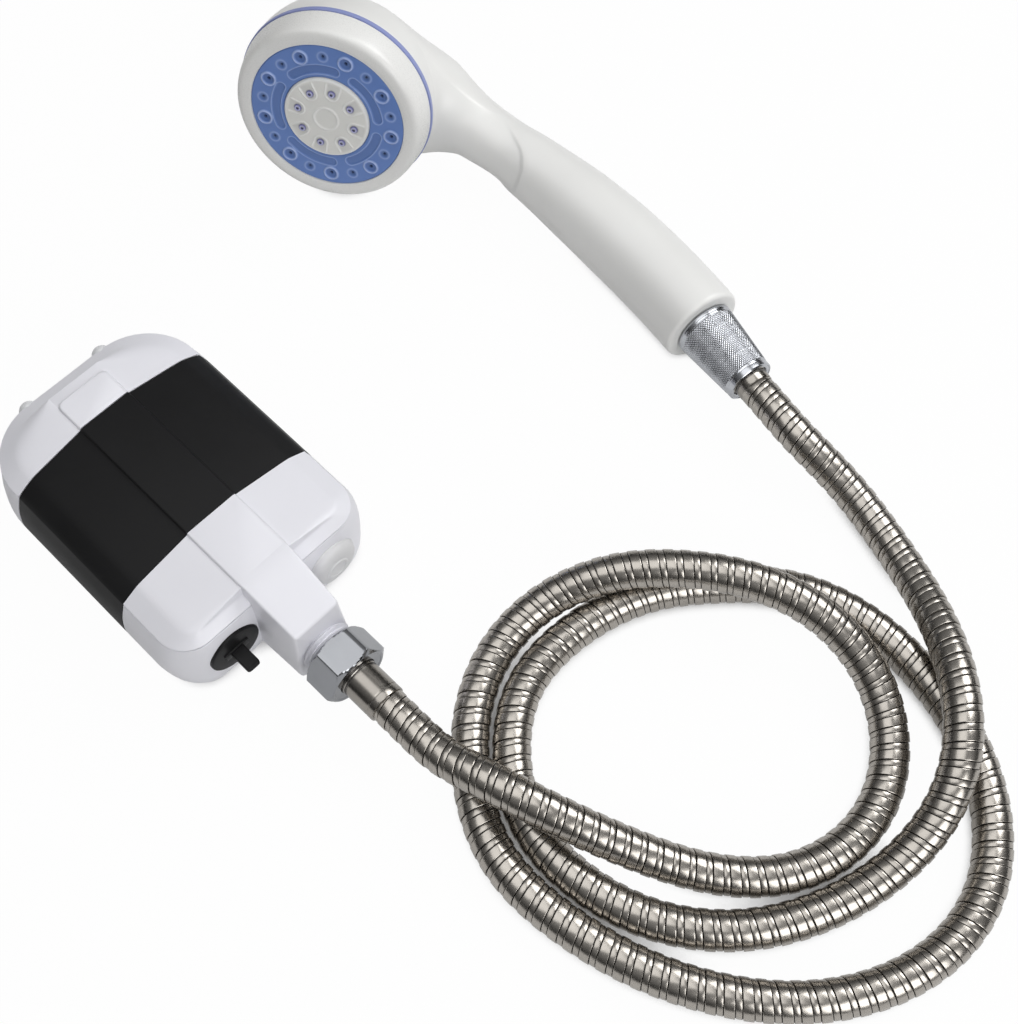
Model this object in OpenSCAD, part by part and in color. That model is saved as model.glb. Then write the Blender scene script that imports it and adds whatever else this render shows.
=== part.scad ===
// Camp shower set: a battery pump that stands in a bucket, a ribbed metal hose and a hand shower,
// laid out on a table. Millimetres, +Z up. The origin is the centre of the pump's flat back,
// +X runs along the pump to its outlet and +Y points to the side of the power button.

/* [Pump body] */
// Length of the body at its seam, without the spout
body_l = 118.5; // [116:0.5:124]
// Width of the body at its seam
seam_w = 84; // [82:0.5:90]
// How far the sides swell past the seam at mid depth
side_swell = 4; // [2:0.5:5]
// Height of the seam above the flat back
seam_z = 36; // [34:0.5:39]
// Rise of the crown above the seam, beside the raised panel
crown_h = 9.5; // [8:0.5:12]
// Corner radius at the intake end
far_r = 25; // [20:1:30]
// Corner radius at the outlet end
near_r = 12; // [11:0.5:16]
// Wall of the shells
wall = 3.2; // [2.8:0.1:3.6]
// Width of the raised middle panel
panel_w = 22; // [18:1:26]
// Height of the raised middle panel
panel_h = 1; // [0.5:0.1:1.5]

/* [Grip band] */
// Edge of the band on the intake side
band_x0 = -31.5; // [-34:0.5:-29]
// Edge of the band on the outlet side
band_x1 = 27.5; // [25:0.5:29]
// Thickness of the band
band_t = 1.6; // [1.2:0.1:1.8]

/* [Outlet] */
// Height of the outlet axis
outlet_z = 19.5; // [19:0.1:20]
// How far the spout reaches past the seam of the body
spout_l = 22; // [20:0.5:24]
// Radius over the outlet's thread
thread_r = 10.4; // [10.2:0.05:10.5]
// Length of the threaded nipple
nipple_l = 12.7; // [12:0.1:13.5]
// Bore of the water way
water_r = 4.5; // [3.5:0.1:5]

/* [Controls] */
// Distance of the button and of the charge plug from the middle
control_y = 23.1; // [23.1:0.1:24]
// Radius of the power button
button_r = 10.6; // [9:0.1:10.6]
// Travel of the power button
button_travel = 0.6; // [0.3:0.1:0.7]
// How far the domed middle of the button stands out
button_dome = 3; // [1:0.5:4]
// Radius of the charge plug's disc
plug_r = 10.6; // [9:0.1:10.6]
// Length of the plug's pull tab
tab_l = 10; // [6:0.5:14]

/* [Pump works] */
// Radius of the motor can
motor_r = 12; // [10:0.25:12]
// Length of the motor can
motor_l = 31; // [26:1:36]
// Radius of the motor shaft
shaft_r = 1.5; // [1:0.1:2]
// Radius of the impeller
impeller_r = 8.5; // [7:0.25:8.75]
// Radius of the battery cell
cell_r = 9.15; // [8:0.05:9.3]
// Room between the bulkhead and the battery cradle
cell_gap = 5.65; // [2:0.05:12]

/* [Hose] */
// Outer diameter of the ribbed hose
hose_d = 14; // [13:0.1:14.2]
// Ribs along the hose
rib_count = 170; // [100:2:176]
// Depth of a rib
rib_h = 0.6; // [0.3:0.1:0.8]
// Radius of the bore of the metal sleeve
sleeve_bore_r = 5; // [4.6:0.1:5.2]
// Wall of the inner liner
liner_t = 1.2; // [0.8:0.1:1.6]
// Outer radius of the ferrules
ferrule_r = 7.5; // [7.2:0.1:7.8]
// Hex nut, across its flats
nut_af = 24; // [23.6:0.1:27]
// Length of the cone nut
cone_l = 30.5; // [29:0.5:32]
// Radius of the cone nut at its wide end
cone_r0 = 12.25; // [12:0.05:13]
// Radius of the cone nut at its narrow end
cone_r1 = 9.75; // [9.2:0.05:10.5]

/* [Hand shower] */
// Largest radius of the head, at its seam ring
head_r = 40.4; // [39:0.2:41]
// Depth of the spray bezel, from its face to the seam ring
bezel_h = 12.9; // [11.6:0.1:13.4]
// Depth of the domed back behind the seam ring
dome_h = 35; // [32:1:40]
// Width of the white rim round the nozzle ring
rim_w = 8.5; // [8:0.1:9.4]
// Width of the blue nozzle ring
ring_w = 14.2; // [14:0.1:15]
// Nozzles of each size on the ring
ring_nozzles = 9; // [6:1:9]
// Nozzles on the centre disc
disc_nozzles = 8; // [5:1:9]
// Curved slots on the ring
ring_slots = 5; // [3:1:5]
// Length of the handle along its curve
handle_l = 152; // [148:1:156]
// Diameter of the grip
grip_d = 33.6; // [31:0.2:34]
// Diameter of the neck
neck_d = 25; // [23:0.2:26]
// Diameter of the handle's end
end_d = 33.4; // [31:0.2:34]
// Slope of the handle where it leaves the head, in degrees
handle_a0 = 15; // [12:0.5:17]
// Slope of the handle at its end, in degrees
handle_a1 = 41; // [40:0.25:42]

/* [Hidden] */

$fn = 48;
// Corner facets of the moulded shells
form_fn = 32;
// Thickness of the discs that the moulded forms are stretched over
film = 0.01;
// Long enough to cut right through
far_cut = 400;

// Gap between pieces that are fixed to each other
fit = 0.1;
// Gap round a shaft or a sliding piece
run = 0.06;
// Gap between pieces that move past each other
clear = 0.3;

white = [0.89, 0.89, 0.92];
handset_white = [0.95, 0.95, 0.95];
black = [0.13, 0.13, 0.14];
blue = [0.36, 0.48, 0.70];
steel = [0.72, 0.70, 0.67];
chrome = [0.78, 0.79, 0.80];
grey = [0.72, 0.72, 0.72];

// Rear shell: height, swell of the sides, swell of the intake end, swell of the outlet end
near_swell = 0.75;
far_swell = 1.5;
rear_slices = [
    [0, -6, -6, -2.5],
    [2.5, -1.5, -2.5, -0.5],
    [9, 0.6*side_swell, 0.5, near_swell],
    [0.53*seam_z, side_swell, far_swell, near_swell],
    [0.75*seam_z, 0.75*side_swell, 1, near_swell],
    [seam_z, 0, 0, 0]
];
// Front shell: the knee where the bevel meets the sloping face
knee_side = -7.5;
knee_far = -7;
knee_near = -3.5;
knee_z = seam_z + 0.48*crown_h;
crown_z = seam_z + crown_h;
crown_far = -9.5;
// The raised panel starts this far from the intake end
panel_inset = 13.8;
panel_z = crown_z + panel_h;
panel_x0 = -body_l/2 + panel_inset;

near_face = body_l/2 + near_swell;
far_face = -body_l/2 - far_swell;
seal_t = 0.8;

// Spout: half widths and heights at its root and at its end
spout_x0 = body_l/2 - 5.25;
spout_x1 = body_l/2 + spout_l;
spout_root = [4, 12.8, panel_z, panel_w/2];
spout_tip = [5, 12, panel_z - 6.5, panel_w/2 - 1];
thread_pitch = 1.8;
nipple_x1 = spout_x1 + nipple_l;

// Screws through the back, and the bosses that they hold
far_screw = [band_x0 - 10.5, seam_w/2 - 10.5];
near_screw = [band_x1 + 6.5, seam_w/2 - 9];
screw_places = [for (p = [far_screw, near_screw]) for (s = [1, -1]) [p[0], s*p[1]]];
screw_r = 1.5;
screw_head_r = 2.5;
screw_head_h = 2;
boss_r = 3;
screw_rise = 2.2;

// Ball feet at the intake end
foot_r = 4;
foot_x = far_face + 1.9;
foot_y = 17;
foot_heights = [seam_z - 3, 6.5];
foot_stem_r = 2;
foot_stem_l = 3;

// Intake window and what stands behind it
window_w = 40;
window_z0 = 12;
window_z1 = 27;
slot_count = 9;
slot_w = 2;
foam_x0 = far_face + 4.4;
foam_l = 8;

// Pump chamber and bulkhead, from the intake end
motor_y = -(motor_r + water_r + clear);
chamber_wall = 2;
chamber_gap = 0.8;
chamber_r = impeller_r + chamber_gap + chamber_wall;
chamber_x0 = foam_x0 + foam_l + clear;
impeller_h = 8;
chamber_in = chamber_x0 + chamber_wall;
chamber_back = chamber_in + impeller_h + 2*chamber_gap;
chamber_x1 = chamber_back + 7.5;
bulkhead_x0 = chamber_x1 + clear;
bulkhead_t = 2.5;
bulkhead_x1 = bulkhead_x0 + bulkhead_t;
motor_x0 = bulkhead_x1 + clear;
seal_r = 4;
shaft_end = motor_x0 + motor_l - 6;
tube_wall = 1;
tube_x0 = chamber_x1 - 3;
tube_x1 = spout_x0 - 2;
discharge_h = 4;

// Battery, its cradle and the board on it
cradle_w = 2*cell_r + 2.2;
cell_y = near_screw[1] - boss_r - clear - cradle_w/2;
cell_z = wall + 2 + cell_r;
cradle_t = 2.2;
cradle_x1 = near_face - 10.5;
cradle_x0 = bulkhead_x1 + cell_gap;
cell_l = cradle_x1 - cradle_x0 - 2*cradle_t - 2*clear;
cradle_h = 21.8;
board_t = 1.6;
board_z = wall + fit + cradle_h + fit;

// Switch and button
switch_x0 = cradle_x1 + fit;
switch_l = 4.5;
switch_w = 6;
plunger_r = 1.4;
plunger_reach = 2.1;
stem_r = 2.5;
button_t = 3;
button_proud = 0.6;
button_ring_r = 4.5;

// Charge socket and plug
socket_l = 9.5;
socket_w = 11;
socket_h = 11;
socket_x1 = near_face - 4.5;
plug_flange = 1.8;
plug_proud = 1;
plug_stem_r = 7.9;
plug_stem_l = 2.2;
plug_pin_r = 2.9;
plug_pin_l = 7;
tab_w = 5.5;
tab_t = 2.6;

// Hose ends: the washer, the flange and the tube of each ferrule
washer_t = 1.8;
washer_r = 9.3;
flange_r = 9.2;
flange_t = 1.4;
ferrule_bore = water_r;
ferrule_l = 15.6;
head_ferrule_l = 17.8;
washer_x0 = nipple_x1 + fit;
flange_x0 = washer_x0 + washer_t + fit;
nut_x0 = spout_x1 + 4.6;
nut_seat = flange_x0 + flange_t + clear;
nut_x1 = nut_seat + 1.6;
hose_x0 = flange_x0 + flange_t + ferrule_l;

// Head: the face is at height 0 and the back is below
seam_t = 1;
collar_r = head_r - 4.4;
collar_wall = 2.4;
collar_root = 2;
seam_z1 = -bezel_h;
seam_z0 = seam_z1 - seam_t;
dome_top = seam_z0 - fit;
post_r = 5;
post_top = -3.6;
plate_t = 2.1;
plate_top = -3.9;
plate_r = collar_r - 0.4;
ledge_w = 1.4;
bezel_gap = 0.9;
selector_top = plate_top - plate_t - clear - 1;
selector_t = 2.2;
ring_r = head_r - rim_w;
disc_r = ring_r - ring_w;
nozzle_orbit = ring_r - 4.9;
disc_orbit = disc_r - 5.7;
arc_w = 4;
arc_r0 = disc_r + 1.8;
face_head_r = 6.2;
face_drop = 0.4;
ring_t = 2;

// Handle: an arc in the plane of symmetry that starts in the neck
neck_x = 36;
neck_z = dome_top - 22;
neck_root_d = 34;
arc_r = handle_l/(handle_a1 - handle_a0)*180/PI;
end_x = neck_x + arc_r*(sin(handle_a1) - sin(handle_a0));
end_z = neck_z + arc_r*(cos(handle_a0) - cos(handle_a1));
// Share of the handle's length, and the diameter there
handle_stations = [
    [-0.14, 0.72*neck_root_d], [-0.1, 0.88*neck_root_d], [-0.05, 0.97*neck_root_d], [0, neck_root_d],
    [0.035, neck_root_d - 1.9], [0.07, 0.5*neck_root_d + 0.5*neck_d], [0.15, neck_d + 0.8],
    [0.24, neck_d], [0.31, neck_d + 1.8], [0.4, 0.55*neck_d + 0.45*grip_d],
    [0.53, 0.2*neck_d + 0.8*grip_d], [0.7, grip_d], [0.88, grip_d], [0.965, 0.5*grip_d + 0.5*end_d],
    [0.99, end_d], [1, end_d - 2]
];
handle_sides = 24;
handle_bore_r = 6;
socket_r = 8.5;
nipple_in = 10;

// How the hand shower lies: roll, pitch and turn, and where its face is
handset_turn = [74.5, 12.35, 27.2];
face_tilt = cos(handset_turn[0])*cos(handset_turn[1]);
face_lean = sqrt(1 - face_tilt*face_tilt);
rest_gap = 0.1;
// The head lies on its domed back
head_height = rest_gap + max([for (a = [0:9:90])
    (head_r - 0.4)*pow(cos(a), 0.75)*face_lean + (dome_h*pow(sin(a), 0.9) - dome_top)*face_tilt]);
head_place = [-75.6, 148.3, head_height];

// Route of the hose between its two straight ends, as it lies in loops on the table
lie = hose_d/2 + 0.1;
over = 23;
route = [
    [156.9, 4.5, 23.2], [178.9, 10.5, 23.6], [204.8, 22.3, 13.5], [231.4, 36, lie],
    [253.1, 56.2, lie], [260.8, 84.6, lie], [252.7, 111.1, lie], [231.7, 129.2, 11],
    [205.8, 133.1, 20], [179.1, 126.7, over], [155.6, 111.8, over], [135.1, 92.4, 21.3],
    [122.1, 69.4, 11.2], [121.9, 42.6, lie], [134.4, 17.8, lie], [157.5, -2.5, lie],
    [180.9, -11.4, lie], [207.3, -9.7, lie], [233.9, -3.2, lie], [258.6, 8.8, lie],
    [280.7, 26.1, lie], [297, 48.8, lie], [305, 74.3, lie], [302.2, 101, lie], [285, 124.4, lie],
    [261.4, 139.1, lie], [234.2, 146.3, lie], [207.3, 146.7, lie], [181.7, 138.1, lie],
    [162.4, 118.9, lie], [145.6, 98.6, lie], [137.2, 70.6, lie], [137.4, 41.7, lie],
    [152.7, 19.4, lie], [175.5, 4.5, lie], [201.3, 3.6, lie], [227.2, 10.7, lie],
    [250.3, 27.8, lie], [265.9, 51.3, lie], [274.6, 78.4, lie], [275.7, 104.3, 13],
    [266.9, 126.5, over], [247, 147.7, over], [224.8, 164.9, 13], [199.7, 176.7, lie],
    [172.7, 184.2, 8.5]
];

// Turning a point as the hand shower is turned
function turn_x(p, a) = [p[0], p[1]*cos(a) - p[2]*sin(a), p[1]*sin(a) + p[2]*cos(a)];
function turn_y(p, a) = [p[0]*cos(a) + p[2]*sin(a), p[1], p[2]*cos(a) - p[0]*sin(a)];
function turn_z(p, a) = [p[0]*cos(a) - p[1]*sin(a), p[0]*sin(a) + p[1]*cos(a), p[2]];
function turned(p) = turn_z(turn_y(turn_x(p, handset_turn[0]), handset_turn[1]), handset_turn[2]);

// The whole route: each end runs straight out of its ferrule for a hose diameter
out_dir = [1, 0, 0];
out_point = [hose_x0, 0, outlet_z];
in_dir = turned([cos(handle_a1), 0, sin(handle_a1)]);
ferrule_end = nipple_l + washer_t + flange_t + 2*fit + head_ferrule_l;
in_point = head_place + turned([end_x, 0, end_z]) + ferrule_end*in_dir;
guides = concat(
    [for (k = [-1:2]) out_point + k*hose_d*out_dir],
    route,
    [for (k = [2:-1:-1]) in_point + k*hose_d*in_dir]
);

// A smooth curve guided by the points, sampled finely
function curve_point(a, b, c, d, t) =
    (pow(1 - t, 3)*a + (3*pow(t, 3) - 6*t*t + 4)*b + (3*t + 3*t*t - 3*pow(t, 3) + 1)*c + pow(t, 3)*d)/6;
curve_steps = 10;
spans = len(guides) - 3;
line = [
    for (i = [0:spans*curve_steps])
        let (s = min(floor(i/curve_steps), spans - 1), t = i/curve_steps - s)
            curve_point(guides[s], guides[s + 1], guides[s + 2], guides[s + 3], t)
];
function step_to(i) = i < len(line) ? norm(line[i] - line[i - 1]) : 0;
travel = [for (i = 0, s = 0; i < len(line); i = i + 1, s = s + step_to(i)) s];
hose_l = travel[len(travel) - 1];
line_table = [for (axis = [0:2]) [for (i = [0:len(line) - 1]) [travel[i], line[i][axis]]]];
function along_hose(s) = [for (axis = [0:2]) lookup(s, line_table[axis])];
function unit(v) = v/norm(v);

// Frames that don't twist along the hose
function rings_at(stations) =
    let (
        points = [for (s = stations) along_hose(s)],
        last = len(points) - 1,
        ways = [for (i = [0:last]) i == 0 ? out_dir : i == last ? -in_dir
            : unit(along_hose(stations[i] + 1) - along_hose(stations[i] - 1))],
        sides = [for (i = 0, n = [0, 1, 0]; i <= last;
            i = i + 1, n = i <= last ? unit(n - (n*ways[i])*ways[i]) : n) n]
    )
    [for (i = [0:last]) [points[i], sides[i], cross(ways[i], sides[i])]];
function ring(frame, r, count) =
    [for (k = [0:count - 1]) frame[0] + r*(cos(360*k/count)*frame[1] + sin(360*k/count)*frame[2])];
function skin_faces(rings, count, first, inward) = [
    for (i = [0:rings - 2])
        for (k = [0:count - 1])
            let (
                a = first + i*count + k,
                b = first + i*count + (k + 1)%count
            )
            each inward ? [[a, b, a + count], [b, b + count, a + count]]
                : [[a, a + count, b], [b, a + count, b + count]]
];
function end_faces(outer, inner, count, flip) = [
    for (k = [0:count - 1])
        let (a = outer + k, b = outer + (k + 1)%count, c = inner + k, d = inner + (k + 1)%count)
            each flip ? [[a, c, b], [b, c, d]] : [[a, b, c], [b, d, c]]
];
function flat(list) = [for (part = list) each part];

hose_sides = 8;
liner_sides = 6;
rib_pitch = hose_l/rib_count;
rib_share = 0.8;
rib_stations = concat(
    [for (i = [0:rib_count - 1]) each [i*rib_pitch, (i + rib_share)*rib_pitch]],
    [hose_l]
);
bore_stations = [for (i = [0:rib_count/2]) 2*i*rib_pitch];
rib_frames = rings_at(rib_stations);
bore_frames = rings_at(bore_stations);
liner_r = sleeve_bore_r*cos(180/hose_sides) - fit;

// Least gap between strands of the hose that are not next to each other
gap_step = 1;
gap_points = [for (s = [0:gap_step:hose_l]) along_hose(s)];
gap_skip = ceil(4*hose_d/gap_step);
least_gap = min([
    for (i = [0:len(gap_points) - 1])
        for (j = [i + gap_skip:1:len(gap_points) - 1])
            norm(gap_points[i] - gap_points[j])
]) - hose_d;
echo(str("Hose length ", hose_l, " mm, least gap to itself ", least_gap, " mm"));

module along_x(x, y = 0, z = outlet_z) {
    translate([x, y, z]) rotate([0, 90, 0]) children();
}

module in_handset() {
    translate(head_place) rotate(handset_turn) children();
}

module at_handle_end() {
    translate([end_x, 0, end_z]) rotate([0, 90 - handle_a1, 0]) children();
}

// One level of a moulded form: four corner discs
module level(z, side, far, near, inset) {
    for (s = [-1, 1]) {
        translate([-body_l/2 + far_r + side - far, s*(seam_w/2 - far_r), z])
            cylinder(r = far_r + side - inset, h = film, $fn = form_fn);
        translate([body_l/2 - near_r - side + near, s*(seam_w/2 - near_r), z])
            cylinder(r = near_r + side - inset, h = film, $fn = form_fn);
    }
}

module rear_form(inset = 0) {
    hull()
        for (slice = rear_slices)
            level(max(slice[0], inset), slice[1], slice[2], slice[3], inset);
}

module front_form(inset = 0) {
    hull() {
        level(seam_z, 0, 0, 0, inset);
        level(knee_z - 0.8*inset, knee_side, knee_far, knee_near, inset);
        translate([-body_l/2 - crown_far + inset, -panel_w/2, crown_z - inset])
            cube([body_l + crown_far + knee_near - 2*inset, panel_w, film]);
    }
}

// The raised strip along the middle of the front
module panel(x0, x1) {
    translate([x0, -panel_w/2, crown_z - 1]) cube([x1 - x0, panel_w, panel_h + 1]);
}

module band_slab(gap = 0) {
    translate([band_x0 - gap, -far_cut/2, -far_cut/2]) cube([band_x1 - band_x0 + 2*gap, far_cut, far_cut]);
}

module spout_section(x, shape, grow) {
    translate([x, 0, 0]) rotate([90, 0, 90]) linear_extrude(film) polygon([
        [-shape[1] - grow, shape[0] - grow], [shape[1] + grow, shape[0] - grow],
        [shape[3] + grow, shape[2] + grow], [-shape[3] - grow, shape[2] + grow]
    ]);
}

module spout_form(grow = 0) {
    hull() {
        spout_section(spout_x0 - grow, spout_root, grow);
        spout_section(spout_x1, spout_tip, grow);
    }
}

module rear_shell() {
    color(white) difference() {
        union() {
            difference() {
                rear_form();
                rear_form(wall);
                difference() {
                    band_slab(fit);
                    rear_form(band_t + fit);
                }
            }
            intersection() {
                rear_form(0.4);
                union() {
                    for (p = screw_places) translate([p[0], p[1], 0.5]) cylinder(r = boss_r, h = seam_z);
                    motor_saddle();
                    socket_post();
                }
            }
        }
        translate([-far_cut/2, -far_cut/2, seam_z - seal_t/2]) cube([far_cut, far_cut, far_cut]);
        spout_form(fit);
        for (p = screw_places) translate([p[0], p[1], -1]) {
            cylinder(r = screw_r + fit, h = far_cut);
            cylinder(r = screw_head_r + fit, h = 1 + screw_head_h + fit);
        }
        along_x(near_face - wall - 5, control_y) cylinder(r = button_r + run, h = wall + 10);
        along_x(near_face - wall - 5, -control_y) cylinder(r = plug_stem_r + run, h = wall + 10);
        along_x(near_face - plug_flange + plug_proud - fit, -control_y) cylinder(r = plug_r + run, h = 10);
        window(0);
        for (s = [-1, 1]) for (z = foot_heights)
            along_x(foot_x - 1, s*foot_y, z)
                cylinder(r = foot_stem_r + run, h = far_wall(z) - foot_x + foot_stem_l + fit);
    }
}

// The half round seat under the motor
module motor_saddle() {
    difference() {
        translate([motor_x0 + 3, motor_y - 0.6*motor_r, wall - 0.8])
            cube([motor_l - 9, 1.2*motor_r, outlet_z - 0.8*motor_r - wall + 1.8]);
        along_x(motor_x0 - 1, motor_y) cylinder(r = motor_r + fit, h = motor_l + 2);
    }
}

module socket_post() {
    translate([socket_x1 - socket_l, -control_y - socket_w/2, 1])
        cube([socket_l, socket_w, outlet_z - socket_h/2 - 1 - fit]);
}

// The opening that the intake grille fills
module window(gap) {
    translate([far_face - 10, -window_w/2 + gap, window_z0 + gap])
        cube([10 + wall + 2, window_w - 2*gap, window_z1 - window_z0 - 2*gap]);
}

module front_shell() {
    color(white) difference() {
        union() {
            difference() {
                union() {
                    front_form();
                    panel(panel_x0, band_x0 - fit);
                    panel(band_x1 + fit, spout_x0 - 2*fit);
                }
                front_form(wall);
                difference() {
                    band_slab(fit);
                    front_form(band_t + fit);
                }
            }
            intersection() {
                front_form(0.4);
                for (p = screw_places) translate([p[0], p[1], seam_z]) cylinder(r = boss_r, h = crown_h);
            }
        }
        translate([-far_cut/2, -far_cut/2, seam_z + seal_t/2 - far_cut]) cube([far_cut, far_cut, far_cut]);
        spout_form(fit);
        for (p = screw_places) translate([p[0], p[1], 0])
            cylinder(r = screw_r + run, h = seam_z + screw_rise + fit);
    }
}

module grip_band() {
    color(black) difference() {
        intersection() {
            union() {
                rear_form();
                front_form();
                panel(band_x0, band_x1);
            }
            band_slab();
        }
        rear_form(band_t);
        front_form(band_t);
    }
}

// A flat gasket that shows as the groove along the seam
module shell_seal() {
    outer = band_t + 0.9;
    band = wall - outer;
    high = seal_t - fit;
    half = seam_w/2;
    gap = spout_root[1] + fit;
    color(grey) translate([0, 0, seam_z - high/2]) for (s = [0, 1]) mirror([0, s, 0]) {
        translate([far_r - body_l/2, half - wall, 0]) cube([body_l - far_r - near_r, band, high]);
        translate([outer - body_l/2, 0, 0]) cube([band, half - far_r, high]);
        translate([body_l/2 - wall, gap, 0]) cube([band, half - near_r - gap, high]);
        translate([far_r - body_l/2, half - far_r, 0]) rotate(90) seal_corner(far_r - wall, band, high);
        translate([body_l/2 - near_r, half - near_r, 0]) seal_corner(near_r - wall, band, high);
    }
}

module seal_corner(r, band, high) {
    rotate_extrude(angle = 90) translate([r, 0]) square([band, high]);
}

module shell_screws() {
    color(steel) for (p = screw_places) translate([p[0], p[1], 0]) difference() {
        union() {
            translate([0, 0, 0.3]) cylinder(r = screw_head_r, h = screw_head_h - 0.3);
            cylinder(r = screw_r, h = seam_z + screw_rise);
        }
        translate([-screw_head_r, -0.3, -1]) cube([2*screw_head_r, 0.6, 2]);
        translate([-0.3, -screw_head_r, -1]) cube([0.6, 2*screw_head_r, 2]);
        translate([0, 0, -1]) cylinder(r = screw_head_r + 1, h = 1.3);
    }
}

// Where the intake end's wall is at a height, and how it leans there
function far_wall(z) = -body_l/2 - lookup(z, [for (slice = rear_slices) [slice[0], slice[2]]]);
function far_lean(z) = atan((far_wall(z + 0.5) - far_wall(z - 0.5)));

// Balls with a flat that lies on the wall and a stem that plugs into it
module feet() {
    color(white) for (s = [-1, 1]) for (z = foot_heights) {
        difference() {
            translate([foot_x, s*foot_y, z]) sphere(r = foot_r);
            translate([far_wall(z) - fit, s*foot_y, z]) rotate([0, far_lean(z), 0])
                translate([0, -2*foot_r, -4*foot_r]) cube([4*foot_r, 4*foot_r, 8*foot_r]);
        }
        along_x(foot_x - 1, s*foot_y, z) cylinder(r = foot_stem_r, h = far_wall(z) - foot_x + foot_stem_l);
    }
}

module intake_grille() {
    rail_z = [for (k = [0, 1]) window_z0 + clear + 2 + k*((window_z1 - window_z0)/2 - 1)];
    pitch = (window_w - 6)/slot_count;
    color(white) difference() {
        intersection() {
            difference() {
                rear_form();
                rear_form(wall);
            }
            window(clear);
        }
        for (k = [0:slot_count - 1]) for (z = rail_z)
            translate([far_face - 5, (k - (slot_count - 1)/2)*pitch - slot_w/2, z])
                cube([wall + 10, slot_w, (window_z1 - window_z0)/2 - 3]);
    }
}

module filter_foam() {
    color(black) translate([foam_x0, -window_w/2 + 0.5, window_z0 + 0.5])
        cube([foam_l, window_w - 1, window_z1 - window_z0 - 1]);
}

// Outline of the chamber: a round well with an arm to the delivery tube
module chamber_outline(r, arm, half) {
    translate([0, motor_y]) circle(r = r);
    translate([-half, motor_y]) square([2*half, arm - motor_y]);
}

module pump_chamber() {
    color(white) difference() {
        along_x(chamber_x0) linear_extrude(chamber_x1 - chamber_x0)
            chamber_outline(chamber_r, water_r + 2, discharge_h + chamber_wall);
        along_x(chamber_in) linear_extrude(chamber_back - chamber_in)
            chamber_outline(impeller_r + chamber_gap, water_r, discharge_h);
        along_x(chamber_x0 - 1, motor_y) cylinder(r = 0.6*impeller_r, h = chamber_wall + 2);
        along_x(chamber_back - 1, motor_y) cylinder(r = shaft_r + run, h = far_cut);
        along_x(chamber_back - 1) cylinder(r = water_r - tube_wall, h = far_cut);
        along_x(tube_x0 - fit) cylinder(r = water_r + fit/2, h = far_cut);
    }
}

module impeller() {
    vanes = 6;
    color(grey) along_x(chamber_in + chamber_gap, motor_y) difference() {
        union() {
            translate([0, 0, impeller_h - 1.4]) cylinder(r = impeller_r, h = 1.4);
            cylinder(r = 3.4, h = impeller_h);
            for (k = [0:vanes - 1]) rotate(k*360/vanes) translate([2, -0.5, 2])
                cube([impeller_r - 2.4, 1, impeller_h - 2.5]);
        }
        translate([0, 0, 1.5]) cylinder(r = shaft_r + 0.02, h = impeller_h);
    }
}

module motor_shaft() {
    start = chamber_in + chamber_gap + 1.6;
    color(steel) along_x(start, motor_y) cylinder(r = shaft_r, h = shaft_end - start);
}

module shaft_seal() {
    color(black) along_x(bulkhead_x0, motor_y) difference() {
        cylinder(r = seal_r, h = bulkhead_t);
        translate([0, 0, -1]) cylinder(r = shaft_r + run, h = bulkhead_t + 2);
    }
}

// Wall between the wet end and the dry end
module bulkhead() {
    color(grey) difference() {
        intersection() {
            translate([bulkhead_x0, -far_cut/2, 0]) cube([bulkhead_t, far_cut, far_cut]);
            union() {
                rear_form(wall + fit);
                front_form(wall + fit);
            }
        }
        along_x(bulkhead_x0 - 1, motor_y) cylinder(r = seal_r + fit/2, h = bulkhead_t + 2);
        along_x(bulkhead_x0 - 1) cylinder(r = water_r + fit/2, h = bulkhead_t + 2);
    }
}

module motor() {
    color(chrome) along_x(motor_x0, motor_y) difference() {
        cylinder(r = motor_r, h = motor_l);
        translate([0, 0, -1]) cylinder(r = shaft_r + run, h = shaft_end - motor_x0 + 2);
        for (s = [-1, 1]) translate([s*motor_r - 1.5, -4, -1]) cube([3, 8, motor_l - 6]);
    }
}

module delivery_tube() {
    color(white) along_x(tube_x0) difference() {
        cylinder(r = water_r, h = tube_x1 - tube_x0);
        translate([0, 0, -1]) cylinder(r = water_r - tube_wall, h = tube_x1 - tube_x0 + 2);
    }
}

// A threaded tube along Z, with the crests of the thread as rings
module threaded_tube(r, length, bore) {
    depth = 0.7;
    crests = floor((length - 1)/thread_pitch);
    rotate_extrude() polygon(concat(
        [[bore, 0], [r - depth, 0]],
        [for (k = [0:crests - 1]) each [
            [r - depth, 0.3 + k*thread_pitch], [r, 0.3 + (k + 0.35)*thread_pitch],
            [r, 0.3 + (k + 0.6)*thread_pitch], [r - depth, 0.3 + (k + 0.95)*thread_pitch]
        ]],
        [[r - depth, length], [bore, length]]
    ));
}

module outlet_spout() {
    color(white) difference() {
        union() {
            spout_form();
            along_x(spout_x0 - 7) cylinder(r = water_r + 2, h = 7.5);
            along_x(spout_x1) threaded_tube(thread_r, nipple_l, water_r);
        }
        along_x(spout_x0 - 8) cylinder(r = water_r + fit/2, h = tube_x1 + fit - spout_x0 + 8);
        along_x(spout_x0 - 8) cylinder(r = water_r - tube_wall, h = far_cut);
        along_x(spout_x1 - 2) cylinder(r = water_r, h = far_cut);
    }
}

module battery_cell() {
    color("mediumseagreen") along_x(cradle_x0 + cradle_t + clear, cell_y, cell_z) {
        cylinder(r = cell_r, h = cell_l - 1);
        cylinder(r = 0.35*cell_r, h = cell_l);
    }
}

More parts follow.
